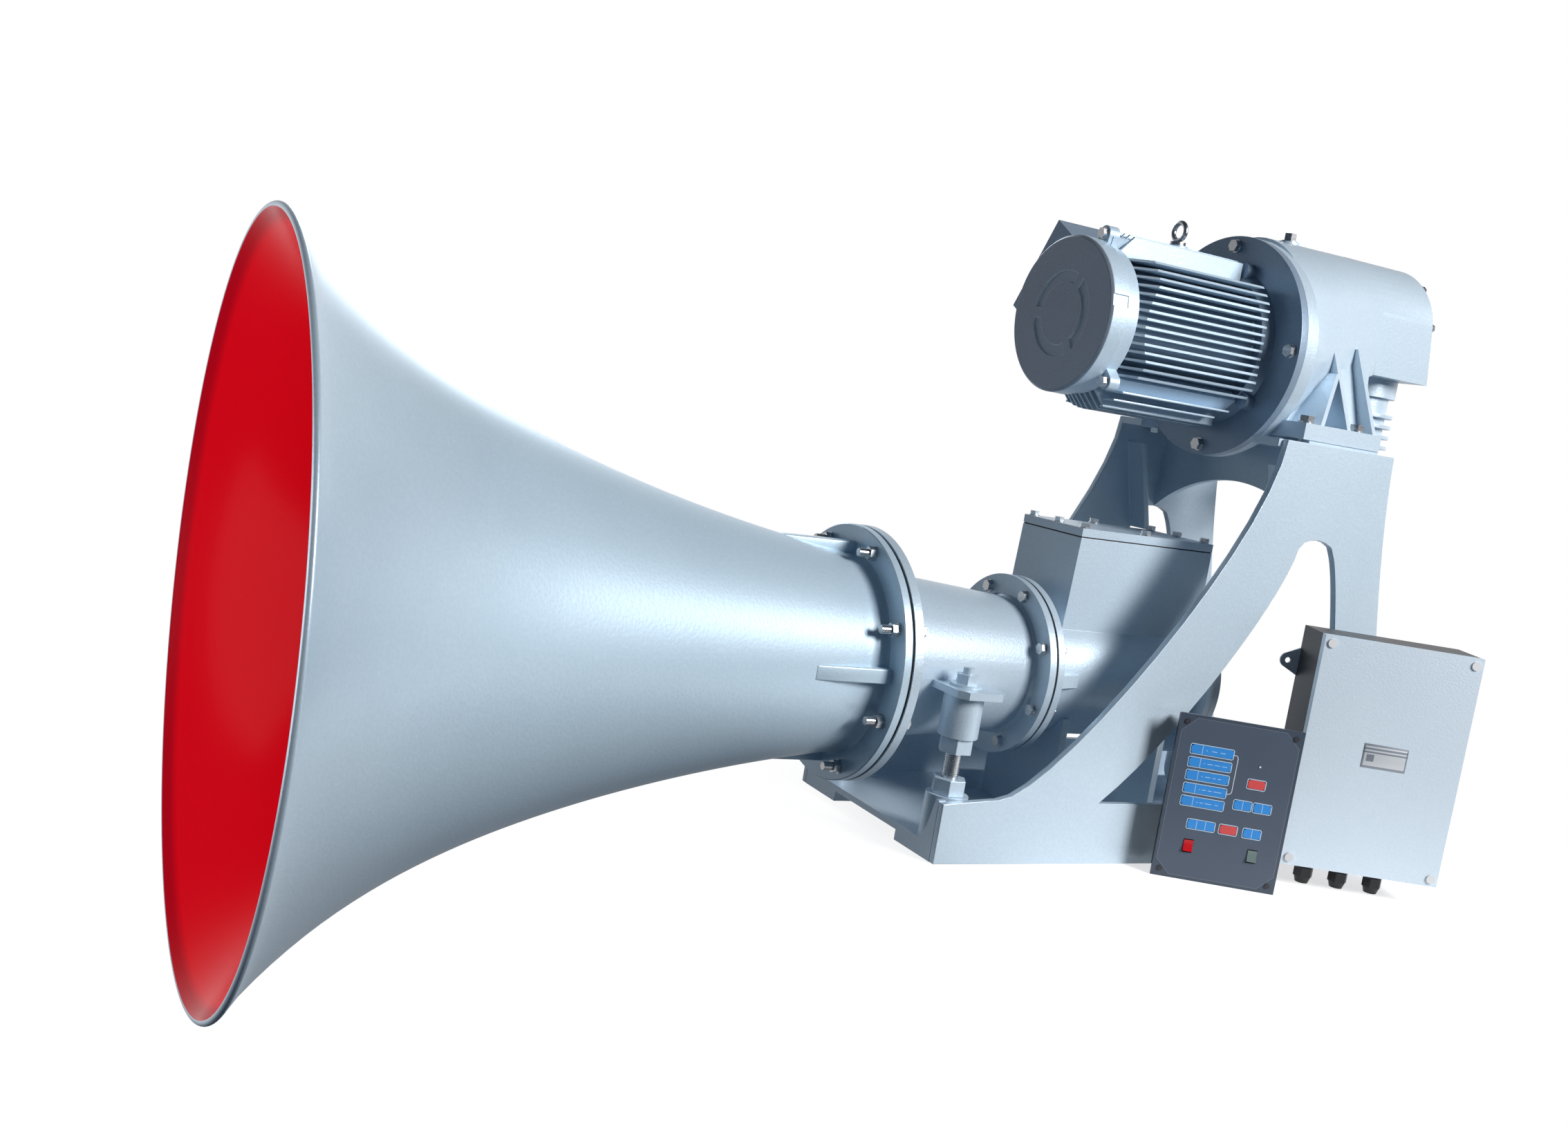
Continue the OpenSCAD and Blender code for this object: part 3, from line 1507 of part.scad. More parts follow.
rocker_w = 15;
rocker_h = 21;
rocker_pivot_y = 2.8;
rocker_pin_r = 1.2;
module rocker_hole(x, z) {
  translate([x - rocker_w / 2, -1, z - rocker_h / 2])
    cube([rocker_w, face_t + 2, rocker_h]);
  translate([x - rocker_w / 2 - 1.4, rocker_pivot_y, z])
    rotate([0, 90, 0])
      cylinder(h = rocker_w + 2.8, r = rocker_pin_r + run_gap, $fn = 36);
}

module rocker(x, z, tint) {
  color(tint)
    on_panel()
      translate([x + rocker_w / 2 - 0.5, rocker_pivot_y, z])
        rotate([-rocker_turn / 2, 0, 0]) {
          rotate([90, 0, -90])
            linear_extrude(rocker_w - 1)
              polygon([[5.5, -8.8], [4.2, 0], [5.5, 8.8], [-1.6, 7.4], [-1.6, -7.4]]);
          translate([-rocker_w - 0.4, 0, 0])
            rotate([0, 90, 0])
              cylinder(h = rocker_w + 1.8, r = rocker_pin_r, $fn = 36);
        }
}

module panel_case() {
  inset = 7;
  wall = 2.5;
  color("dimgray")
    on_panel()
      difference() {
        translate([inset, face_t, inset])
          cube([panel_w - 2 * inset, panel_d - face_t, panel_h - 2 * inset]);
        difference() {
          translate([inset + wall, face_t - 1, inset + wall])
            cube([panel_w - 2 * inset - 2 * wall, panel_d - face_t - wall + 1,
               panel_h - 2 * inset - 2 * wall]);
          panel_screw_places()
            xpost(face_t, panel_d, 4.5);
        }
        panel_screw_places()
          xpost(face_t - 1, face_t + 12, cover_screw_r + bolt_gap / 2);
      }
}

cover_screw_r = 2;
screw_in = 12;
module xpost(y0, y1, r) {
  translate([0, y0, 0])
    rotate([-90, 0, 0])
      cylinder(h = y1 - y0, r = r, $fn = 36);
}

module panel_screw_places() {
  for (x = [screw_in, panel_w - screw_in])
    for (z = [screw_in, panel_h - screw_in])
      translate([x, 0, z])
        children();
}

module cabinet_screw_places() {
  for (x = [screw_in, cabinet_w - screw_in])
    for (z = [screw_in, cabinet_h - screw_in])
      translate([x, 0, z])
        children();
}

module cover_screws() {
  color("whitesmoke") {
    on_panel()
      panel_screw_places() {
        xpost(-1.5, 0, 4);
        xpost(-0.5, face_t + 11, cover_screw_r);
      }
    on_cabinet()
      cabinet_screw_places() {
        xpost(-2.5, 0, 7);
        xpost(-1, cabinet_lid_t + 10, cover_screw_r + 1);
      }
  }
}

module panel_face() {
  color("darkslategray")
    on_panel()
      difference() {
        cube([panel_w, face_t, panel_h]);
        for (z = key_rows())
          key_pocket(key_x, z, key_long);
        key_pocket(131.5, 164.4, key_short);
        key_pocket(116.8, 129.2, key_short);
        key_pocket(147, 129.2, key_short);
        key_pocket(61, 88, 41);
        key_pocket(102.7, 88, key_short);
        key_pocket(139, 88, key_short);
        rocker_hole(47.7, 53.5);
        rocker_hole(145.4, 53.5);
        panel_screw_places()
          xpost(-1, face_t + 1, cover_screw_r + bolt_gap / 2);
      }
}

module program_key_1() { key_cap(key_x, key_rows()[0], key_long, "dodgerblue"); }
module program_key_2() { key_cap(key_x, key_rows()[1], key_long, "dodgerblue"); }
module program_key_3() { key_cap(key_x, key_rows()[2], key_long, "dodgerblue"); }
module program_key_4() { key_cap(key_x, key_rows()[3], key_long, "dodgerblue"); }
module program_key_5() { key_cap(key_x, key_rows()[4], key_long, "dodgerblue"); }
module manual_key() { key_cap(131.5, 164.4, key_short, "tomato"); }
module lamp_key_1() { key_cap(116.8, 129.2, key_short, "dodgerblue"); }
module lamp_key_2() { key_cap(147, 129.2, key_short, "dodgerblue"); }
module mode_key() { key_cap(61, 88, 41, "dodgerblue"); }
module select_key() { key_cap(102.7, 88, key_short, "tomato"); }
module test_key() { key_cap(139, 88, key_short, "dodgerblue"); }
module heating_rocker() { rocker(47.7, 53.5, "red"); }
module power_rocker() { rocker(145.4, 53.5, "darkseagreen"); }

// Control cabinet; its own frame has the lid's face at y = 0 and y into the box

module on_cabinet() {
  translate(cabinet_at)
    rotate([0, 0, cabinet_yaw])
      children();
}

ear_w = 30;
ear_h = 46;
ear_t = 5;
ear_r = 11.3;
ear_z = [60, cabinet_h - 60];
module cabinet_box() {
  color("slategray")
    on_cabinet()
      difference() {
        union() {
          translate([0, cabinet_lid_t, 0])
            cube([cabinet_w, cabinet_d - cabinet_lid_t, cabinet_h]);
          for (z = ear_z)
            for (side = [0, 1])
              translate([side * cabinet_w, 0, z]) {
                translate([0, cabinet_d, 0])
                  mirror([1 - side, 0, 0])
                    rotate([90, 0, 0]) {
                      linear_extrude(ear_t)
                        polygon([[-1, -ear_h / 2], [-1, ear_h / 2], [ear_w - 8, ear_r],
                            [ear_w - 8, -ear_r]]);
                      translate([ear_w - 12, 0, 0])
                        cylinder(h = ear_t, r = 12, $fn = 48);
                    }
              }
        }
        difference() {
          translate([cabinet_wall, cabinet_lid_t - 1, cabinet_wall])
            cube([cabinet_w - 2 * cabinet_wall, cabinet_d - cabinet_lid_t - cabinet_wall + 1,
               cabinet_h - 2 * cabinet_wall]);
          cabinet_screw_places()
            xpost(cabinet_lid_t, cabinet_d, screw_in - cabinet_wall + 1.5);
        }
        cabinet_screw_places()
          xpost(cabinet_lid_t - 1, cabinet_lid_t + 12, cover_screw_r + 1 + bolt_gap / 2);
        for (z = ear_z)
          for (x = [-ear_w + 12, cabinet_w + ear_w - 12])
            translate([x, cabinet_d + 1, z])
              rotate([90, 0, 0])
                cylinder(h = ear_t + 2, r = ear_hole_r, $fn = 36);
        gland_places()
          translate([0, 0, -1])
            cylinder(h = cabinet_wall + 2, r = gland_bore_r + 4, $fn = 36);
      }
}

module cabinet_lid() {
  color("lightslategray")
    on_cabinet()
      difference() {
        cube([cabinet_w, cabinet_lid_t, cabinet_h]);
        translate([cabinet_wall, cabinet_lid_t - 6, cabinet_wall])
          cube([cabinet_w - 2 * cabinet_wall, 7, cabinet_h - 2 * cabinet_wall]);
        cabinet_screw_places()
          xpost(-1, cabinet_lid_t, cover_screw_r + 1 + bolt_gap / 2);
      }
}

module gland_places() {
  for (i = [0 : 2])
    translate([60 + i * 56, cabinet_d / 2 + 6, 0])
      children();
}

module cable_glands() {
  color("dimgray")
    on_cabinet()
      gland_places()
        difference() {
          union() {
            translate([0, 0, -gland_len])
              cylinder(h = 10, r1 = gland_bore_r + 4, r2 = gland_bore_r + 7, $fn = 48);
            hex_z(-gland_len + 10, -12, 27);
            hex_z(-10, 0, 30);
            translate([0, 0, -14])
              cylinder(h = 14 + cabinet_wall + 8, r = gland_bore_r + 3.8, $fn = 48);
          }
          translate([0, 0, -gland_len - 1])
            cylinder(h = gland_len + cabinet_wall + 10, r = gland_bore_r, $fn = 48);
        }
}

bell();
bell_studs();
gaskets();
throat_cone();
throat_bolts();
sound_box();
box_lid();
box_bolts();
sounder_cylinder();
sounder_piston();
end_cover();
jack_screws();
jack_nuts();
jack_sleeves();
jack_bolts();
near_cheek();
far_cheek();
base_tray();
deck();
gear_case();
case_cover();
case_bolts();
oil_plug();
motor_flange();
motor_bolts();
motor_housing();
end_cap();
stator_core();
rotor();
bearings();
terminal_box();
terminal_lid();
lifting_eye();
crank_gear();
crankshaft();
connecting_rod();
pump_piston();
pump_cylinder();
pump_head();
air_pipe();
panel_case();
panel_face();
program_key_1();
program_key_2();
program_key_3();
program_key_4();
program_key_5();
manual_key();
lamp_key_1();
lamp_key_2();
mode_key();
select_key();
test_key();
heating_rocker();
power_rocker();
cabinet_box();
cabinet_lid();
cable_glands();
cover_screws();
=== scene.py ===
"""Studio scene of the electric horn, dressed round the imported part."""
import json
import math

import bpy
from mathutils import Matrix, Vector


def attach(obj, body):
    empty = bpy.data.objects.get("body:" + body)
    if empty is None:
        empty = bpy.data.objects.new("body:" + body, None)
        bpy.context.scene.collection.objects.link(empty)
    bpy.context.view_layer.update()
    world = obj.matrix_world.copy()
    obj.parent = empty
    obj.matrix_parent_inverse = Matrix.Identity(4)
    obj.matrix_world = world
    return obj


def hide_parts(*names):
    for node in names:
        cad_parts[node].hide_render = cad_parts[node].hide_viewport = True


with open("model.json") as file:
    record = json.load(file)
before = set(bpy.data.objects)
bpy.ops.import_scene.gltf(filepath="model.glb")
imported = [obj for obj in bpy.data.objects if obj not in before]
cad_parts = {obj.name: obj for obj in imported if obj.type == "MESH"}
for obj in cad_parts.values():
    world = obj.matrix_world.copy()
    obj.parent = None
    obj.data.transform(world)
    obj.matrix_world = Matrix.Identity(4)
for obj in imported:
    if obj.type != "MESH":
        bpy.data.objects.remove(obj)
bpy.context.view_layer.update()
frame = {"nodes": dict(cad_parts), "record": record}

NODES = frame["nodes"]
SLOT_OF = {p["node"]: p["material_slot"] for p in frame["record"]["subparts"]}
BODY_OF = {n: b for b, names in frame["record"]["behaviour"]["bodies"].items() for n in names}

# Horn and motor as the CAD has them, in metres

HORN_Z = 0.264
BELL_X, BELL_LEN = -0.5555, 0.878
MOUTH_R, NECK_R, WALL, RIM_R = 0.5, 0.15, 0.006, 0.0045
FLANGE_R, FLANGE_T, FLANGE_CHAMFER = 0.194, 0.014, 0.0015
STUDS, STUD_CIRCLE, STUD_END = 8, 0.174, 0.0124
JACK_X, JACK_Y, JACK_Z = -0.42, 0.159, 0.119
MOTOR_Z = 0.825
FIN_ROOT_R, FIN_TIP_R, SHELL_R = 0.098, 0.118, 0.1395
CAP_FACE_X, CAP_RIM_X = -0.2512, -0.2475
ARC_DEPTH, ARC_REACH = (-0.2529, -0.2503), 0.08

# Panel and cabinet: the lower left corner of each face in metres and its turn, the rest in millimetres

PANEL_AT, PANEL_YAW = (-0.082, -0.248), math.radians(-30.6)
FILM_W, FILM_H, FILM_RIM, FILM_CLIP = 189.0, 256.0, 5.0, 32.0
LONG_U, LONG_W = 56.5, 64.0
LONG_ROWS = (203.8, 183.5, 163.2, 142.9, 122.6)
SHORT_KEYS = ((131.5, 164.4, 26.0), (116.8, 129.2, 26.0), (147.0, 129.2, 26.0), (61.0, 88.0, 41.0),
              (102.7, 88.0, 26.0), (139.0, 88.0, 26.0))
KEY_H, KEY_GAP, BORDER_W, BORDER_R = 13.5, 0.8, 1.2, 3.2
LAMP_U, LAMP_Z = 131.5, 192.5
UPPER_DIVIDERS, LOWER_DIVIDERS, DIVIDERS_SPLIT = (41.8, 116.8, 147.0), (139.0, 54.2, 67.8), 110.0
DOT = (48.5, 0.9)
DASHES = (((60, 4), (73, 4)), ((57, 4), (68, 4), (79, 4)), ((57, 4), (67, 2.5), (75, 2.5)),
          ((55, 3), (64, 3), (76, 6)), ((55, 2.5), (65, 5), (78, 2.5)))
CABINET_AT, CABINET_YAW = (0.121, -0.308), math.radians(-27)
CABINET_MIDDLE, EARS_FROM = 125.0, 125.6
PLATE_U, PLATE_Z, PLATE_HALF_W, PLATE_HALF_H = 128.0, 228.0, 35.0, 19.0
MM = 0.001


# Shader wrapper


class Socket:
    """A node output that takes part in Python arithmetic through Math nodes."""

    def __init__(self, graph, link):
        self.graph, self.link = graph, link

    def _math(self, op, *args):
        return self.graph.node("ShaderNodeMath", {"operation": op}, dict(enumerate(args)))

    def __add__(self, other):
        return self._math("ADD", self, other)

    __radd__ = __add__

    def __sub__(self, other):
        return self._math("SUBTRACT", self, other)

    def __rsub__(self, other):
        return self._math("SUBTRACT", other, self)

    def __mul__(self, other):
        return self._math("MULTIPLY", self, other)

    def max(self, other):
        return self._math("MAXIMUM", self, other)

    def min(self, other):
        return self._math("MINIMUM", self, other)

    def abs(self):
        return self._math("ABSOLUTE", self)

    def clamp(self):
        return self.max(0.0).min(1.0)

    def root(self):
        return self._math("SQRT", self)

    def over(self, limit):
        return self._math("GREATER_THAN", self, limit)

    def line(self, middle, half):
        """1 within half of the middle, 0 outside."""
        return self._math("LESS_THAN", (self - middle).abs(), half)

    def lines(self, middles, half):
        """The same round each of several middles."""
        return sum(self.line(middle, half) for middle in middles)

    def ramp(self, low, high, kind="SMOOTHSTEP"):
        """0 at low, 1 at high, held beyond them."""
        return self.graph.node("ShaderNodeMapRange", {"interpolation_type": kind},
                               {0: self, 1: low, 2: high, 3: 0.0, 4: 1.0})


class Graph:
    """A node tree that is written as arithmetic."""

    def __init__(self, tree):
        self.tree = tree

    def node(self, kind, settings, inputs, out=0):
        n = self.tree.nodes.new(kind)
        for key, value in settings.items():
            setattr(n, key, value)
        for key, value in inputs.items():
            self.feed(value, n.inputs[key])
        return Socket(self, n.outputs[out])

    def feed(self, value, target):
        if isinstance(value, Socket):
            self.tree.links.new(value.link, target)
        else:
            target.default_value = value

    def rays(self, *kinds):
        """1 for a ray of any of the kinds."""
        found = [self.node("ShaderNodeLightPath", {}, {}, kind) for kind in kinds]
        any_of = found[0]
        for other in found[1:]:
            any_of = any_of.max(other)
        return any_of


class Shader(Graph):
    """One material with a Principled surface."""

    INPUTS = {"color": "Base Color", "rough": "Roughness", "metal": "Metallic", "normal": "Normal",
              "spec": "Specular IOR Level", "emit": "Emission Color", "emit_strength": "Emission Strength",
              "alpha": "Alpha"}

    def __init__(self, name):
        self.mat = bpy.data.materials.new(name)
        self.mat.use_nodes = True
        super().__init__(self.mat.node_tree)
        self.bsdf = self.tree.nodes["Principled BSDF"]
        self.coords = self.node("ShaderNodeTexCoord", {}, {}, "Object")

    def axes(self):
        return [self.node("ShaderNodeSeparateXYZ", {}, {0: self.coords}, i) for i in range(3)]

    def from_motor_axis(self):
        """Distance from the motor's axis, which runs along x."""
        _, y, z = self.axes()
        return (y * y + (z - MOTOR_Z) * (z - MOTOR_Z)).root()

    def on_face(self, at, yaw):
        """Width and height in millimetres on a face that stands turned about z."""
        x, y, z = self.axes()
        return ((x - at[0]) * math.cos(yaw) + (y - at[1]) * math.sin(yaw)) * 1000.0, z * 1000.0

    def stretch(self, scale):
        return self.node("ShaderNodeVectorMath", {"operation": "MULTIPLY"}, {0: self.coords, 1: scale})

    def noise(self, scale, detail=2.0, rough=0.5, vector=None):
        return self.node("ShaderNodeTexNoise", {}, {"Vector": vector or self.coords, "Scale": scale,
                                                    "Detail": detail, "Roughness": rough})

    def cells(self, scale):
        return self.node("ShaderNodeTexVoronoi", {"feature": "SMOOTH_F1"},
                         {"Vector": self.coords, "Scale": scale, "Smoothness": 0.6})

    def mix(self, factor, a, b):
        def colour(c):
            return c if isinstance(c, Socket) else (*c, 1.0)
        return self.node("ShaderNodeMix", {"data_type": "RGBA"}, {0: factor, 6: colour(a), 7: colour(b)}, 2)

    def bump(self, height, strength, distance):
        return self.node("ShaderNodeBump", {}, {"Strength": strength, "Distance": distance, "Height": height})

    def set(self, **values):
        for key, value in values.items():
            self.feed(value, self.bsdf.inputs[self.INPUTS[key]])
        return self.mat


# Materials


def hammered(s, grain, light, dark):
    """Colour, bump height and flakes of a hammered metallic enamel with fine pits."""
    dents = s.cells(grain)
    flakes = s.noise(1300.0, 2.0, 0.7)
    pits = s.noise(430.0, 2.0, 0.5).ramp(0.62, 0.7)
    drift = s.noise(4.5, 3.0, 0.55)
    tone = (drift * 0.55 + dents * 0.3 + flakes * 0.3 - pits * 0.22).clamp()
    return s.mix(tone, dark, light), dents + flakes * 0.12 - pits * 0.3, flakes


def enamel(name, light, dark, metal=0.3, rough=0.36, grain=240.0):
    s = Shader(name)
    colour, height, flakes = hammered(s, grain, light, dark)
    return s.set(color=colour, metal=metal, rough=rough - 0.07 + flakes * 0.14, spec=0.25,
                 normal=s.bump(height, 0.3, 0.0005))


def bell_enamel(name):
    """Silver enamel, with painted shade greying it towards the mouth."""
    s = Shader(name)
    x, _, _ = s.axes()
    colour, height, flakes = hammered(s, 210.0, (0.69, 0.85, 0.97), (0.52, 0.68, 0.82))
    # The grey copy is painted shade, mixed in towards the mouth with a noisy edge.
    grey, _, _ = hammered(s, 210.0, (0.49, 0.57, 0.65), (0.37, 0.45, 0.53))
    patch = (s.noise(3.2, 4.0, 0.6) - 0.5) * 0.35
    mouth = (x + patch).ramp(-1.05, -1.42)
    return s.set(color=s.mix(mouth * 0.5, colour, grey), metal=0.32, rough=0.31 + flakes * 0.12, spec=0.26,
                 normal=s.bump(height, 0.2, 0.0005))


def fin_enamel(name):
    """Motor shell: silver on the tips of the fins, with painted shade dark down between them."""
    s = Shader(name)
    colour, height, flakes = hammered(s, 240.0, (0.66, 0.8, 0.92), (0.46, 0.6, 0.73))
    # Painted shade: near-black blue at the fin roots, fading out towards the fin tips.
    root_shade_fade = s.from_motor_axis().ramp(FIN_ROOT_R, FIN_TIP_R)
    return s.set(color=s.mix(root_shade_fade, (0.1, 0.145, 0.21), colour), metal=0.25, rough=0.34 + flakes * 0.12,
                 spec=0.25, normal=s.bump(height, 0.25, 0.0004))


def cap_enamel(name):
    """Motor's end cap: silver, with painted shade darkening its face."""
    s = Shader(name)
    x, _, _ = s.axes()
    colour, height, flakes = hammered(s, 200.0, (0.66, 0.81, 0.93), (0.5, 0.63, 0.77))
    # The darker copy is painted shade for the cap's face; the rim ramp turns it back to plain silver.
    face, _, _ = hammered(s, 200.0, (0.42, 0.48, 0.57), (0.3, 0.35, 0.43))
    rim = x.ramp(CAP_FACE_X, CAP_RIM_X)
    return s.set(color=s.mix(rim, face, colour), metal=0.3, rough=0.36 + flakes * 0.12, spec=0.25,
                 normal=s.bump(height, 0.35, 0.0005))


def bare_metal(name, tint, rough):
    """Zinc-plated or machined metal."""
    s = Shader(name)
    brushed = s.noise(160.0, 2.0, 0.5, s.stretch((1.0, 1.0, 5.0)))
    blotch = s.noise(60.0, 2.0)
    dark = tuple(c * 0.82 for c in tint)
    return s.set(color=s.mix((brushed * 0.6 + blotch * 0.5).clamp(), dark, tint), metal=1.0,
                 rough=rough - 0.04 + brushed * 0.12, normal=s.bump(brushed, 0.06, 0.0001))


def cast_metal(name, light, dark):
    s = Shader(name)
    sand = s.noise(420.0, 4.0, 0.65)
    patches = s.noise(24.0, 3.0)
    return s.set(color=s.mix((sand * 0.5 + patches * 0.5).clamp(), dark, light), metal=0.4,
                 rough=0.45 + sand * 0.2, normal=s.bump(sand, 0.4, 0.0004))


def moulded(name, light, dark, rough):
    """Plastic or rubber with a fine grain."""
    s = Shader(name)
    fine = s.noise(900.0, 2.0, 0.6)
    slow = s.noise(18.0, 2.0)
    return s.set(color=s.mix((fine * 0.4 + slow * 0.6).clamp(), dark, light), metal=0.0,
                 rough=rough - 0.05 + fine * 0.1, normal=s.bump(fine, 0.15, 0.0001))


def bell_lining(name):
    """Glossy red enamel, with painted shade deepening it towards the throat and in a band beside the rim."""
    s = Shader(name)
    x, _, _ = s.axes()
    orange_peel = s.noise(110.0, 2.0, 0.45)
    drift = s.noise(3.0, 2.0)
    # Painted shade: a darker red deep in the throat and in a band just inside the rim.
    throat_shade = x.ramp(-1.43, -0.7)
    rim_band_shade = x.ramp(-1.418, -1.43)
    red = s.mix(throat_shade, (0.8, 0.002, 0.01), (0.45, 0.001, 0.004))
    red = s.mix(drift * 0.3, red, (0.8, 0.01, 0.03))
    red = s.mix(rim_band_shade * 0.6, red, (0.3, 0.002, 0.012))
    return s.set(color=red, metal=0.0, rough=0.16 + orange_peel * 0.08, spec=0.04,
                 normal=s.bump(orange_peel, 0.05, 0.0006))


def panel_film(name):
    """Panel face: a printed film with clipped corners and a fine bracket beside the first four keys."""
    s = Shader(name)
    u, z = s.on_face(PANEL_AT, PANEL_YAW)
    fine = s.noise(900.0, 2.0, 0.6)
    slow = s.noise(14.0, 2.0)
    across, over = (u - FILM_W / 2).abs(), (z - FILM_H / 2).abs()
    corners = (FILM_W / 2 + FILM_H / 2 - FILM_CLIP - across - over) * 0.707
    inside = (FILM_W / 2 - FILM_RIM - across).min(FILM_H / 2 - FILM_RIM - over).min(corners)
    film = s.mix((fine * 0.35 + slow * 0.65).clamp(), (0.068, 0.092, 0.135), (0.092, 0.12, 0.168))
    plate = s.mix((fine * 0.5 + slow * 0.5).clamp(), (0.05, 0.068, 0.1), (0.068, 0.09, 0.128))
    colour = s.mix(inside.over(0.0), plate, film)
    # A thin pale line along the film's edge is a painted highlight.
    colour = s.mix(inside.line(0.0, 0.35) * 0.6, colour, (0.25, 0.28, 0.33))
    low, high = LONG_ROWS[3], LONG_ROWS[0]
    left, right, round_r = 89.5, 97.0, 5.0
    du = (u - (right - round_r)).max(0.0)
    dz = ((z - (low + high) / 2).abs() - ((high - low) / 2 - round_r)).max(0.0)
    bracket = (du * du + dz * dz).root().line(round_r, 0.5) * u.over(left)
    colour = s.mix(bracket, colour, (0.75, 0.8, 0.85))
    return s.set(color=colour, metal=0.0, rough=0.34 + fine * 0.1, normal=s.bump(fine, 0.12, 0.0001))


def key_print(name, light, dark):
    """Blue key with its printed dividers and dashes."""
    s = Shader(name)
    u, z = s.on_face(PANEL_AT, PANEL_YAW)
    fine = s.noise(900.0, 2.0, 0.6)
    slow = s.noise(40.0, 2.0)
    colour = s.mix((fine * 0.4 + slow * 0.6).clamp(), dark, light)
    upper = z.over(DIVIDERS_SPLIT)
    bars = u.lines(UPPER_DIVIDERS, 0.45) * upper + u.lines(LOWER_DIVIDERS, 0.45) * (1.0 - upper)
    colour = s.mix(bars.clamp() * 0.85, colour, (0.5, 0.72, 0.95))
    marks = sum(sum(u.line(*mark) for mark in (DOT, *dashes)) * z.line(row, 0.55)
                for row, dashes in zip(LONG_ROWS, DASHES))
    colour = s.mix(marks.clamp() * 0.8, colour, (0.55, 0.76, 0.97))
    return s.set(color=colour, metal=0.0, rough=0.3 + fine * 0.1, normal=s.bump(fine, 0.12, 0.0001))


def cabinet_enamel(name):
    """Dark hammered box with paler ears beside it."""
    s = Shader(name)
    u, _ = s.on_face(CABINET_AT, CABINET_YAW)
    dark, height, flakes = hammered(s, 300.0, (0.1, 0.1, 0.105), (0.06, 0.06, 0.064))
    pale, _, _ = hammered(s, 300.0, (0.62, 0.7, 0.78), (0.48, 0.55, 0.63))
    ear = (u - CABINET_MIDDLE).abs().over(EARS_FROM)
    return s.set(color=s.mix(ear, dark, pale), metal=0.04, rough=0.38 + flakes * 0.12, spec=0.25,
                 normal=s.bump(height, 0.3, 0.0005))


def screw_heads(name):
    """Cover screws: dark plugs on the panel, white caps on the cabinet."""
    s = Shader(name)
    x, _, _ = s.axes()
    fine = s.noise(800.0, 2.0, 0.6)
    on_cabinet = x.over(0.1)
    white = s.mix(fine, (0.66, 0.68, 0.7), (0.8, 0.81, 0.82))
    return s.set(color=s.mix(on_cabinet, (0.035, 0.036, 0.04), white), metal=0.0, rough=0.4 + fine * 0.15,
                 normal=s.bump(fine, 0.1, 0.0001))


def rating_plate(name):
    """Blank plate: pale, with a blue-grey border, two bars and a block."""
    s = Shader(name)
    u, z = s.on_face(CABINET_AT, CABINET_YAW)
    fine = s.noise(700.0, 2.0, 0.6)
    field = u.line(PLATE_U, PLATE_HALF_W - 2.5) * z.line(PLATE_Z, PLATE_HALF_H - 3.5)
    block_mark = z.line(PLATE_Z - 3.0, 5.5) * u.line(105.0, 6.0)
    bars = (z.line(PLATE_Z + 11.5, 1.6) + z.line(PLATE_Z + 6.0, 1.3) + block_mark).clamp()
    colour = s.mix(fine, (0.62, 0.66, 0.7), (0.74, 0.77, 0.8))
    colour = s.mix(((1.0 - field) * 0.75 + bars * 0.8).clamp(), colour, (0.16, 0.19, 0.25))
    return s.set(color=colour, metal=0.3, rough=0.3 + fine * 0.1, normal=s.bump(fine, 0.1, 0.0001))


SILVER = enamel("silver_enamel", (0.68, 0.8, 0.9), (0.5, 0.62, 0.73))
BELL_OUT = bell_enamel("bell_enamel")
FINS = fin_enamel("fin_enamel")
# Near-white paint that stands in for painted highlights on the edges of the cap's sunk arcs.
ARC_EDGE_HIGHLIGHT = enamel("arc_edge_highlight", (0.95, 0.98, 1.0), (0.88, 0.93, 0.98), metal=0.0)
LINING = bell_lining("red_lining")
STEEL = bare_metal("zinc_steel", (0.74, 0.75, 0.77), 0.26)
PRINT = moulded("pale_print", (0.62, 0.8, 0.95), (0.52, 0.7, 0.88), 0.4)
LAMP = moulded("lamp_lens", (0.85, 0.87, 0.9), (0.7, 0.73, 0.78), 0.2)
PLATE = rating_plate("rating_plate")

BY_SLOT = {
    "silver_paint": SILVER,
    "bell_paint": BELL_OUT,
    "motor_paint": enamel("motor_enamel", (0.34, 0.44, 0.56), (0.22, 0.3, 0.4)),
    "fin_paint": FINS,
    "iron": cast_metal("grey_iron", (0.16, 0.16, 0.17), (0.07, 0.07, 0.075)),
    "steel": STEEL,
    "machined": bare_metal("machined_steel", (0.45, 0.46, 0.48), 0.3),
    "light_alloy": bare_metal("light_alloy", (0.7, 0.71, 0.73), 0.34),
    "gasket": moulded("gasket_sheet", (0.03, 0.032, 0.036), (0.012, 0.012, 0.014), 0.7),
    "panel_plastic": panel_film("panel_film"),
    "case_plastic": moulded("case_plastic", (0.03, 0.032, 0.036), (0.018, 0.019, 0.022), 0.5),
    "blue_key": key_print("blue_key", (0.05, 0.33, 0.83), (0.035, 0.26, 0.72)),
    "red_key": moulded("red_key", (0.78, 0.1, 0.1), (0.66, 0.075, 0.075), 0.36),
    "green_key": moulded("green_key", (0.2, 0.27, 0.26), (0.12, 0.17, 0.165), 0.3),
    "cabinet_paint": cabinet_enamel("cabinet_enamel"),
    "cable_plastic": moulded("gland_plastic", (0.035, 0.036, 0.04), (0.02, 0.02, 0.022), 0.45),
}
BY_NODE = {
    "end_cap": cap_enamel("cap_enamel"),
    "cabinet_lid": enamel("cabinet_lid_enamel", (0.76, 0.87, 0.96), (0.62, 0.73, 0.84), rough=0.44,
                          grain=330.0),
    "jack_nuts": SILVER,
    "jack_bolts": SILVER,
    "heating_rocker": moulded("red_switch", (0.7, 0.012, 0.02), (0.5, 0.006, 0.012), 0.25),
    "cover_screws": screw_heads("screw_heads"),
}


def look(node):
    return BY_NODE.get(node) or BY_SLOT[SLOT_OF[node]]


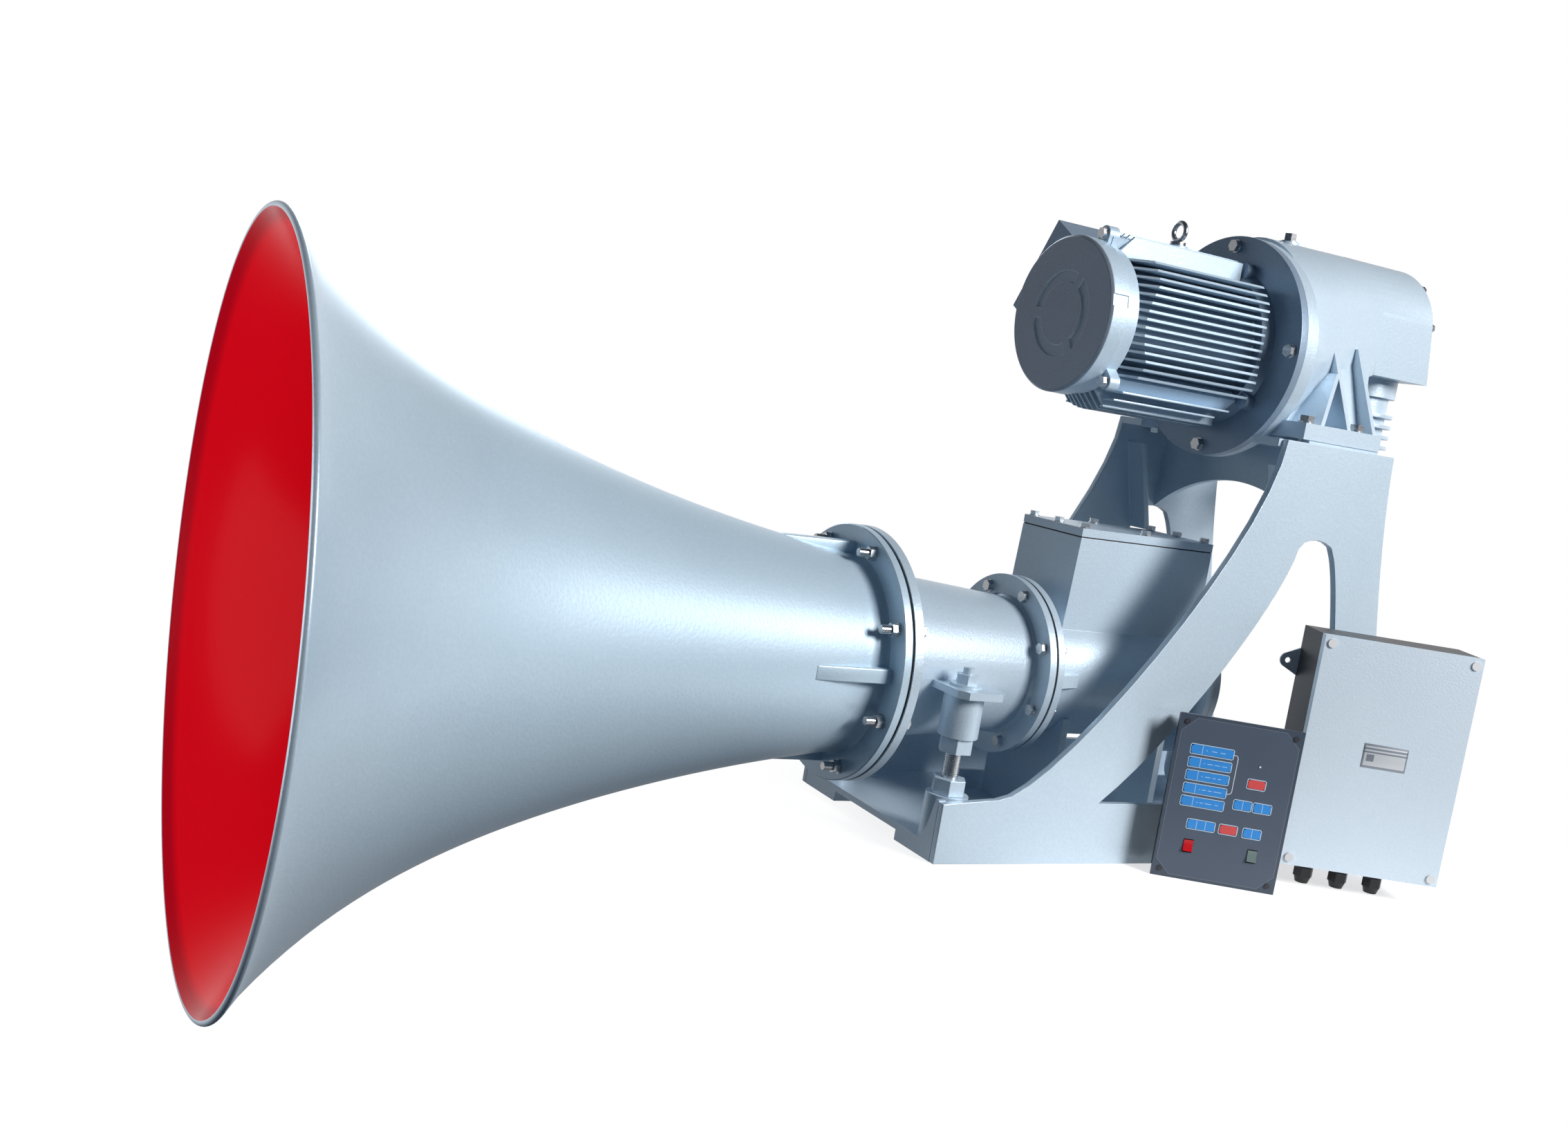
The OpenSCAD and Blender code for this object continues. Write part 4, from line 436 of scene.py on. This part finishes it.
for node_name, node_obj in NODES.items():
    for slot in node_obj.material_slots:
        slot.material = look(node_name)


# Modelling helpers


def solo(obj):
    bpy.ops.object.select_all(action="DESELECT")
    obj.select_set(True)
    bpy.context.view_layer.objects.active = obj


def edit(obj, select="SELECT"):
    solo(obj)
    bpy.ops.object.mode_set(mode="EDIT")
    bpy.ops.mesh.select_all(action=select)


def leave_edit():
    bpy.ops.object.mode_set(mode="OBJECT")


def weld():
    """Merges the vertices that lie on each other."""
    bpy.ops.mesh.select_all(action="SELECT")
    bpy.ops.mesh.remove_doubles(threshold=0.00001)


def outward():
    """Turns all normals outward and leaves edit mode."""
    bpy.ops.mesh.select_all(action="SELECT")
    bpy.ops.mesh.normals_make_consistent(inside=False)
    leave_edit()


def dress(obj, name, materials, body, replaces=()):
    """Names a finished piece, gives it its looks, hangs it on its body's empty and hides the CAD parts it
    replaces.
    """
    obj.name = name
    obj.data.name = name
    obj.data.materials.clear()
    for m in materials:
        obj.data.materials.append(m)
    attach(obj, body)
    if replaces:
        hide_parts(*replaces)
    return obj


def apply_modifier(obj, kind, **settings):
    solo(obj)
    m = obj.modifiers.new(kind.lower(), kind)
    for key, value in settings.items():
        setattr(m, key, value)
    bpy.ops.object.modifier_apply(modifier=m.name)


def place(obj, location=(0, 0, 0), rotation=(0, 0, 0)):
    """Puts the place of a piece into its mesh."""
    obj.location, obj.rotation_euler = location, rotation
    solo(obj)
    bpy.ops.object.transform_apply(location=True, rotation=True, scale=True)


def smooth(obj, degrees=32.0):
    solo(obj)
    bpy.ops.object.shade_smooth_by_angle(angle=math.radians(degrees))


FLAT_DEGREES, SHARP_DEGREES = 0.6, 38.0


def softened(node, width):
    """A copy of a CAD piece with its sharp edges rounded, shown in its place."""
    obj = bpy.data.objects.new(node + "_soft", NODES[node].data.copy())
    bpy.context.scene.collection.objects.link(obj)
    edit(obj)
    weld()
    bpy.ops.mesh.dissolve_limited(angle_limit=math.radians(FLAT_DEGREES))
    leave_edit()
    apply_modifier(obj, "BEVEL", width=width, segments=2, limit_method="ANGLE",
                   angle_limit=math.radians(SHARP_DEGREES), use_clamp_overlap=True)
    smooth(obj)
    apply_modifier(obj, "WEIGHTED_NORMAL", keep_sharp=True)
    return dress(obj, node + "_soft", [look(node)], BODY_OF[node], [node])


def trace(points):
    """An open chain of edges through the points, grown vertex by vertex."""
    bpy.ops.object.select_all(action="DESELECT")
    bpy.ops.mesh.primitive_plane_add(size=0.001, location=(0, 0, 0))
    obj = bpy.context.object
    edit(obj)
    bpy.ops.mesh.merge(type="CENTER")
    here = Vector(points[0])
    bpy.ops.transform.translate(value=here)
    for p in points[1:]:
        step = Vector(p) - here
        bpy.ops.mesh.extrude_region_move(TRANSFORM_OT_translate={"value": step})
        here = Vector(p)
    return obj


def block(low, high):
    """A cube between two corners, with its place in its mesh."""
    bpy.ops.object.select_all(action="DESELECT")
    middle = [(a + b) / 2 for a, b in zip(low, high)]
    bpy.ops.mesh.primitive_cube_add(size=1.0, location=middle)
    obj = bpy.context.object
    obj.scale = [b - a for a, b in zip(low, high)]
    place(obj, middle)
    return obj


def pick(obj, test):
    """Selects the vertices that pass the test and opens edit mode on them."""
    edit(obj, "DESELECT")
    leave_edit()
    for v in obj.data.vertices:
        v.select = test(v.co)
    bpy.ops.object.mode_set(mode="EDIT")


def joined(pieces):
    bpy.ops.object.select_all(action="DESELECT")
    for o in pieces:
        o.select_set(True)
    bpy.context.view_layer.objects.active = pieces[0]
    bpy.ops.object.join()
    return pieces[0]


# Camera at the photo's angle

CAMERA_AT = (-1.7384, -1.9836, 0.6452)
CAMERA_YAW, CAMERA_PITCH, CAMERA_ROLL = (math.radians(v) for v in (-28.4, -6.5, 9.3))

cam_data = bpy.data.cameras.new("camera")
cam_data.sensor_fit = "HORIZONTAL"
cam_data.sensor_width = 36.0
cam_data.lens = 35.49
cam = bpy.data.objects.new("camera", cam_data)
bpy.context.scene.collection.objects.link(cam)
forward = Vector((-math.sin(CAMERA_YAW) * math.cos(CAMERA_PITCH),
                  math.cos(CAMERA_YAW) * math.cos(CAMERA_PITCH), math.sin(CAMERA_PITCH)))
level = forward.cross(Vector((0, 0, 1))).normalized()
upward = level.cross(forward)
cam_right = level * math.cos(CAMERA_ROLL) + upward * math.sin(CAMERA_ROLL)
cam_top = upward * math.cos(CAMERA_ROLL) - level * math.sin(CAMERA_ROLL)
turn = Matrix((cam_right, cam_top, -forward)).transposed().to_4x4()
cam.matrix_world = Matrix.Translation(CAMERA_AT) @ turn
bpy.context.scene.camera = cam


# Bell: spun from its profile, silver outside and red inside

PROFILE_STEPS, SPIN_STEPS, RIM_STEPS = 44, 144, 13
RIM_X, RIM_MIDDLE_R = BELL_X - BELL_LEN, MOUTH_R - RIM_R + 0.001
RIM_FROM, RIM_SWEEP = 20, 222
FLARE_LINEAR, FLARE_SQUARE, FLARE_POWER, WALL_GROWTH = 0.11, 0.148, 6.4, 0.3
RIBS, RIB_LEN, RIB_HALF_W, RIB_Z, RIB_INTO_FLANGE = 4, 0.124, 0.011, (0.147, 0.169), 0.002
RIB_NOSE_LEN, RIB_NOSE_RISE = 0.024, 0.0175


def flare(u):
    """Outer radius of the bell at u, which is 0 at its flange and 1 at its mouth."""
    rest = MOUTH_R - NECK_R - FLARE_LINEAR - FLARE_SQUARE
    return NECK_R + FLARE_LINEAR * u + FLARE_SQUARE * u * u + rest * u ** FLARE_POWER


def wall(u):
    """Thickness of the bell's wall, which grows towards the mouth."""
    return WALL * (1 + WALL_GROWTH * u)


def bell_profile():
    """Closed loop of x and radius through the bell's wall, rim and flange."""
    outer = [(BELL_X - BELL_LEN * i / PROFILE_STEPS, flare(i / PROFILE_STEPS))
             for i in range(1, PROFILE_STEPS)]
    inner = [(x, r - wall(i / PROFILE_STEPS)) for i, (x, r) in enumerate(outer)]
    rim = []
    for i in range(RIM_STEPS + 1):
        a = math.radians(RIM_FROM + RIM_SWEEP * i / RIM_STEPS)
        rim.append((RIM_X + RIM_R * math.cos(a), RIM_MIDDLE_R + RIM_R * math.sin(a)))
    back = BELL_X + FLANGE_T
    flange = [(back, NECK_R - WALL), (back, FLANGE_R - FLANGE_CHAMFER), (back - FLANGE_CHAMFER, FLANGE_R),
              (BELL_X + FLANGE_CHAMFER, FLANGE_R), (BELL_X, FLANGE_R - FLANGE_CHAMFER),
              (BELL_X, NECK_R + 0.006), (BELL_X - 0.006, NECK_R + 0.0022)]
    return flange + outer + rim + inner[::-1] + flange[:1]


def bell_rib(angle):
    """One rib on the neck, its lower edge risen towards its front end."""
    low_z, high_z = RIB_Z
    rib = block((BELL_X - RIB_LEN, -RIB_HALF_W, low_z), (BELL_X + RIB_INTO_FLANGE, RIB_HALF_W, high_z))
    pick(rib, lambda c: c.x < BELL_X - RIB_LEN + RIB_NOSE_LEN and c.z < (low_z + high_z) / 2)
    bpy.ops.transform.translate(value=(0, 0, RIB_NOSE_RISE))
    leave_edit()
    apply_modifier(rib, "BEVEL", width=0.0025, segments=3, limit_method="ANGLE")
    place(rib, (0, 0, HORN_Z), (angle, 0, 0))
    return rib


def is_lining(centre):
    """True for a face on the red side of the bell's wall."""
    u, r = (BELL_X - centre.x) / BELL_LEN, math.hypot(centre.y, centre.z - HORN_Z)
    if centre.x < RIM_X + RIM_R:
        return r < RIM_MIDDLE_R - RIM_R * 0.6
    return r < flare(min(max(u, 0.0), 1.0)) - wall(u) / 2


bell = trace([(x, 0, HORN_Z + r) for x, r in bell_profile()])
bpy.ops.mesh.select_all(action="SELECT")
bpy.ops.mesh.spin(steps=SPIN_STEPS, angle=2 * math.pi, center=(0, 0, HORN_Z), axis=(1, 0, 0))
weld()
outward()
joined([bell] + [bell_rib(2 * math.pi * i / RIBS) for i in range(RIBS)])
smooth(bell, 40)
dress(bell, "bell_spun", [BELL_OUT, LINING], "frame", ["bell"])
for face in bell.data.polygons:
    face.material_index = int(is_lining(face.center))


# Rounded copies of the CAD pieces

EDGE_WIDTHS = {
    "near_cheek": 0.0014, "far_cheek": 0.0014, "base_tray": 0.0012, "deck": 0.0012, "throat_cone": 0.0016,
    "box_lid": 0.0014, "end_cover": 0.0012, "gear_case": 0.003, "case_cover": 0.002, "motor_flange": 0.0015,
    "end_cap": 0.0025, "terminal_box": 0.003, "terminal_lid": 0.0025, "jack_sleeves": 0.001,
    "jack_nuts": 0.001, "pump_cylinder": 0.001, "pump_head": 0.001, "cabinet_box": 0.0025,
    "cabinet_lid": 0.003, "panel_face": 0.0008, "panel_case": 0.002, "cable_glands": 0.0008,
    "sound_box": 0.0015,
}
KEY_EDGE = 0.0004

soft = {node: softened(node, width) for node, width in EDGE_WIDTHS.items()}
for node_name in NODES:
    if "key" in node_name or "rocker" in node_name:
        softened(node_name, KEY_EDGE)

# Painted highlight: the walls and rounded edges of the sunk arcs get the near-white paint.
soft["end_cap"].data.materials.append(ARC_EDGE_HIGHLIGHT)
for face in soft["end_cap"].data.polygons:
    c = face.center
    near_arc = ARC_DEPTH[0] < c.x < ARC_DEPTH[1] and math.hypot(c.y, c.z - MOTOR_Z) < ARC_REACH
    on_edge = abs(face.normal.x) < 0.97
    if near_arc and on_edge:
        face.material_index = 1


# Short fins that close the lower corners of the motor

FIN_HALF_T, FIN_FROM_X, FIN_FROM_Y = 0.0016, -0.176, 0.04
CORNER_FINS = ((0.1071, 0.046), (0.1197, 0.034), (0.1312, 0.022))

corner_fins = []
for below, to_x in CORNER_FINS:
    to_y = math.sqrt(SHELL_R ** 2 - below ** 2)
    for sign in (-1, 1):
        y0, y1 = sorted((sign * FIN_FROM_Y, sign * to_y))
        fin = block((FIN_FROM_X, y0, MOTOR_Z - below - FIN_HALF_T), (to_x, y1, MOTOR_Z - below + FIN_HALF_T))
        apply_modifier(fin, "BEVEL", width=0.0008, segments=2, limit_method="ANGLE")
        corner_fins.append(fin)
fins = joined(corner_fins)
smooth(fins)
dress(fins, "corner_fins", [FINS], BODY_OF["motor_housing"])


# Screw threads on the jack rods and on the ends of the bell studs

JACK_THREAD = (0.012, 0.003, 0.0006, 12)
STUD_THREAD = (0.006, 0.00175, 0.0004, 8)


def thread(radius, pitch, depth, turns, location, rotation=(0, 0, 0)):
    """A helical ridge round z, from z = 0 up, then set in its place."""
    low, high = radius - depth, radius + depth
    ridge = trace([(low, 0, 0), (high, 0, pitch * 0.3), (high, 0, pitch * 0.4), (low, 0, pitch * 0.7),
                   (low, 0, 0)])
    weld()
    leave_edit()
    apply_modifier(ridge, "SCREW", axis="Z", angle=2 * math.pi, screw_offset=pitch, iterations=turns,
                   steps=24, render_steps=24)
    edit(ridge)
    bpy.ops.mesh.fill_holes(sides=4)
    outward()
    place(ridge, location, rotation)
    return ridge


ridges = [thread(*JACK_THREAD, (JACK_X, sign * JACK_Y, JACK_Z)) for sign in (-1, 1)]
for i in range(STUDS):
    a = 2 * math.pi * (i + 0.5) / STUDS
    end = (BELL_X - STUD_END, STUD_CIRCLE * math.cos(a), HORN_Z + STUD_CIRCLE * math.sin(a))
    ridges.append(thread(*STUD_THREAD, end, (0, -math.pi / 2, 0)))
threads = joined(ridges)
smooth(threads)
dress(threads, "screw_threads", [STEEL], BODY_OF["jack_screws"])


# Printed and fitted details of the panel and the cabinet

PRINT_T, PRINT_LIFT = 0.0003, 0.00005
LAMP_R, LAMP_T, LAMP_SINK = 0.0016, 0.0014, 0.0003
BADGE_BACK, BADGE_FRONT = -0.0002, 0.0008


def stood(obj, at, yaw, u, z, lift):
    """Stands a piece made flat on the floor upright on a turned face, at u and z in millimetres."""
    x = at[0] + u * MM * math.cos(yaw) - lift * math.sin(yaw)
    y = at[1] + u * MM * math.sin(yaw) + lift * math.cos(yaw)
    place(obj, (x, y, z * MM), (math.pi / 2, 0, yaw))


def key_border(u, z, width):
    """A raised printed line round one key."""
    around = (KEY_GAP + 2 * BORDER_W) * MM
    bpy.ops.object.select_all(action="DESELECT")
    bpy.ops.mesh.primitive_plane_add(size=1.0, location=(0, 0, 0))
    ring = bpy.context.object
    ring.scale = (width * MM + around, KEY_H * MM + around, 1)
    place(ring)
    edit(ring)
    bpy.ops.mesh.bevel(offset=BORDER_R * MM, segments=5, affect="VERTICES")
    bpy.ops.mesh.select_all(action="SELECT")
    bpy.ops.mesh.inset(thickness=BORDER_W * MM, depth=0)
    bpy.ops.mesh.delete(type="FACE")
    bpy.ops.mesh.select_all(action="SELECT")
    bpy.ops.mesh.extrude_region_move(TRANSFORM_OT_translate={"value": (0, 0, PRINT_T)})
    outward()
    stood(ring, PANEL_AT, PANEL_YAW, u, z, PRINT_LIFT)
    return ring


long_keys = [(LONG_U, z, LONG_W) for z in LONG_ROWS]
borders = joined([key_border(*key) for key in (*long_keys, *SHORT_KEYS)])
dress(borders, "key_borders", [PRINT], BODY_OF["panel_face"])

bpy.ops.object.select_all(action="DESELECT")
bpy.ops.mesh.primitive_cylinder_add(vertices=32, radius=LAMP_R, depth=LAMP_T, location=(0, 0, 0))
lens = bpy.context.object
apply_modifier(lens, "BEVEL", width=0.0005, segments=3, limit_method="ANGLE")
smooth(lens)
stood(lens, PANEL_AT, PANEL_YAW, LAMP_U, LAMP_Z, -LAMP_SINK)
dress(lens, "sending_lamp", [LAMP], BODY_OF["panel_face"])

badge_w, badge_h = PLATE_HALF_W * MM, PLATE_HALF_H * MM
badge = block((-badge_w, -badge_h, BADGE_BACK), (badge_w, badge_h, BADGE_FRONT))
edit(badge)
bpy.ops.mesh.bevel(offset=0.0003, segments=2)
leave_edit()
smooth(badge)
stood(badge, CABINET_AT, CABINET_YAW, PLATE_U, PLATE_Z, 0.0)
dress(badge, "blank_plate", [PLATE], BODY_OF["cabinet_lid"])


# Floor: pale, under the base only, fading out round it

FLOOR_AT, FLOOR_SIZE = (0.15, -0.1, -0.0004), 2.0
FADE_X, FADE_Y, FADE_FROM, FADE_TO = 0.1, -0.1, 0.45, 0.92

bpy.ops.object.select_all(action="DESELECT")
bpy.ops.mesh.primitive_plane_add(size=FLOOR_SIZE, location=FLOOR_AT)
floor = bpy.context.object
floor.name = "floor"
ground = Shader("pale_floor")
floor_x, floor_y, _ = ground.axes()
floor_x, floor_y = floor_x - FADE_X, floor_y - FADE_Y
away = (floor_x * floor_x + floor_y * floor_y).root()
seen_floor = ground.rays("Is Camera Ray", "Is Glossy Ray", "Is Transmission Ray")
floor.data.materials.append(ground.set(
    color=ground.mix(ground.noise(60.0, 2.0), (0.68, 0.68, 0.68), (0.72, 0.72, 0.72)), rough=0.9, spec=0.05,
    alpha=away.ramp(FADE_TO, FADE_FROM), emit=ground.mix(seen_floor, (0.0, 0.0, 0.0), (0.66, 0.66, 0.66)),
    emit_strength=1.0))


# Lights


def area_light(name, location, aim, size, power, colour):
    data = bpy.data.lights.new(name, "AREA")
    data.shape = "SQUARE"
    data.size = size
    data.energy = power
    data.color = colour
    obj = bpy.data.objects.new(name, data)
    bpy.context.scene.collection.objects.link(obj)
    obj.location = location
    obj.rotation_euler = (Vector(aim) - Vector(location)).to_track_quat("-Z", "Y").to_euler()
    obj.visible_camera = False


area_light("key", (1.25, -3.2, 2.15), (-0.3, 0, 0.35), 1.3, 166, (1.0, 0.99, 0.98))
area_light("mouth", (-2.1, -0.1, 0.3), (-1.2, 0.1, 0.26), 0.8, 6.5, (1.0, 1.0, 1.0))
area_light("back", (0.3, 4.0, 2.4), (0, 0, 0.4), 1.4, 50, (0.9, 0.95, 1.0))


# World: white to the camera, a low white wall behind the horn to shiny surfaces, faint blue light

WALL_TOWARDS = (0.65, 0.76, 0.0)
FILL_COLOUR, FILL_STRENGTH = (0.48, 0.7, 1.0, 1.0), 0.06

world = bpy.data.worlds.new("world")
bpy.context.scene.world = world
world.use_nodes = True
sky = Graph(world.node_tree)
sky.tree.nodes.clear()
direction = sky.node("ShaderNodeTexCoord", {}, {}, "Generated")
steepness = sky.node("ShaderNodeSeparateXYZ", {}, {0: direction}, "Z").abs()
behind = sky.node("ShaderNodeVectorMath", {"operation": "DOT_PRODUCT"}, {0: direction, 1: WALL_TOWARDS},
                  "Value")
white_wall = behind.ramp(-0.1, 0.6, "LINEAR") * steepness.ramp(0.7, 0.2, "LINEAR")
shiny = sky.rays("Is Glossy Ray", "Is Transmission Ray")
white = (shiny * white_wall).max(sky.rays("Is Camera Ray"))
fill = sky.node("ShaderNodeBackground", {}, {"Color": FILL_COLOUR, "Strength": FILL_STRENGTH})
seen = sky.node("ShaderNodeBackground", {}, {"Color": (1, 1, 1, 1), "Strength": 1.0})
sky.feed(sky.node("ShaderNodeMixShader", {}, {0: white, 1: fill, 2: seen}),
         sky.tree.nodes.new("ShaderNodeOutputWorld").inputs[0])
bpy.context.scene.view_settings.view_transform = "Standard"
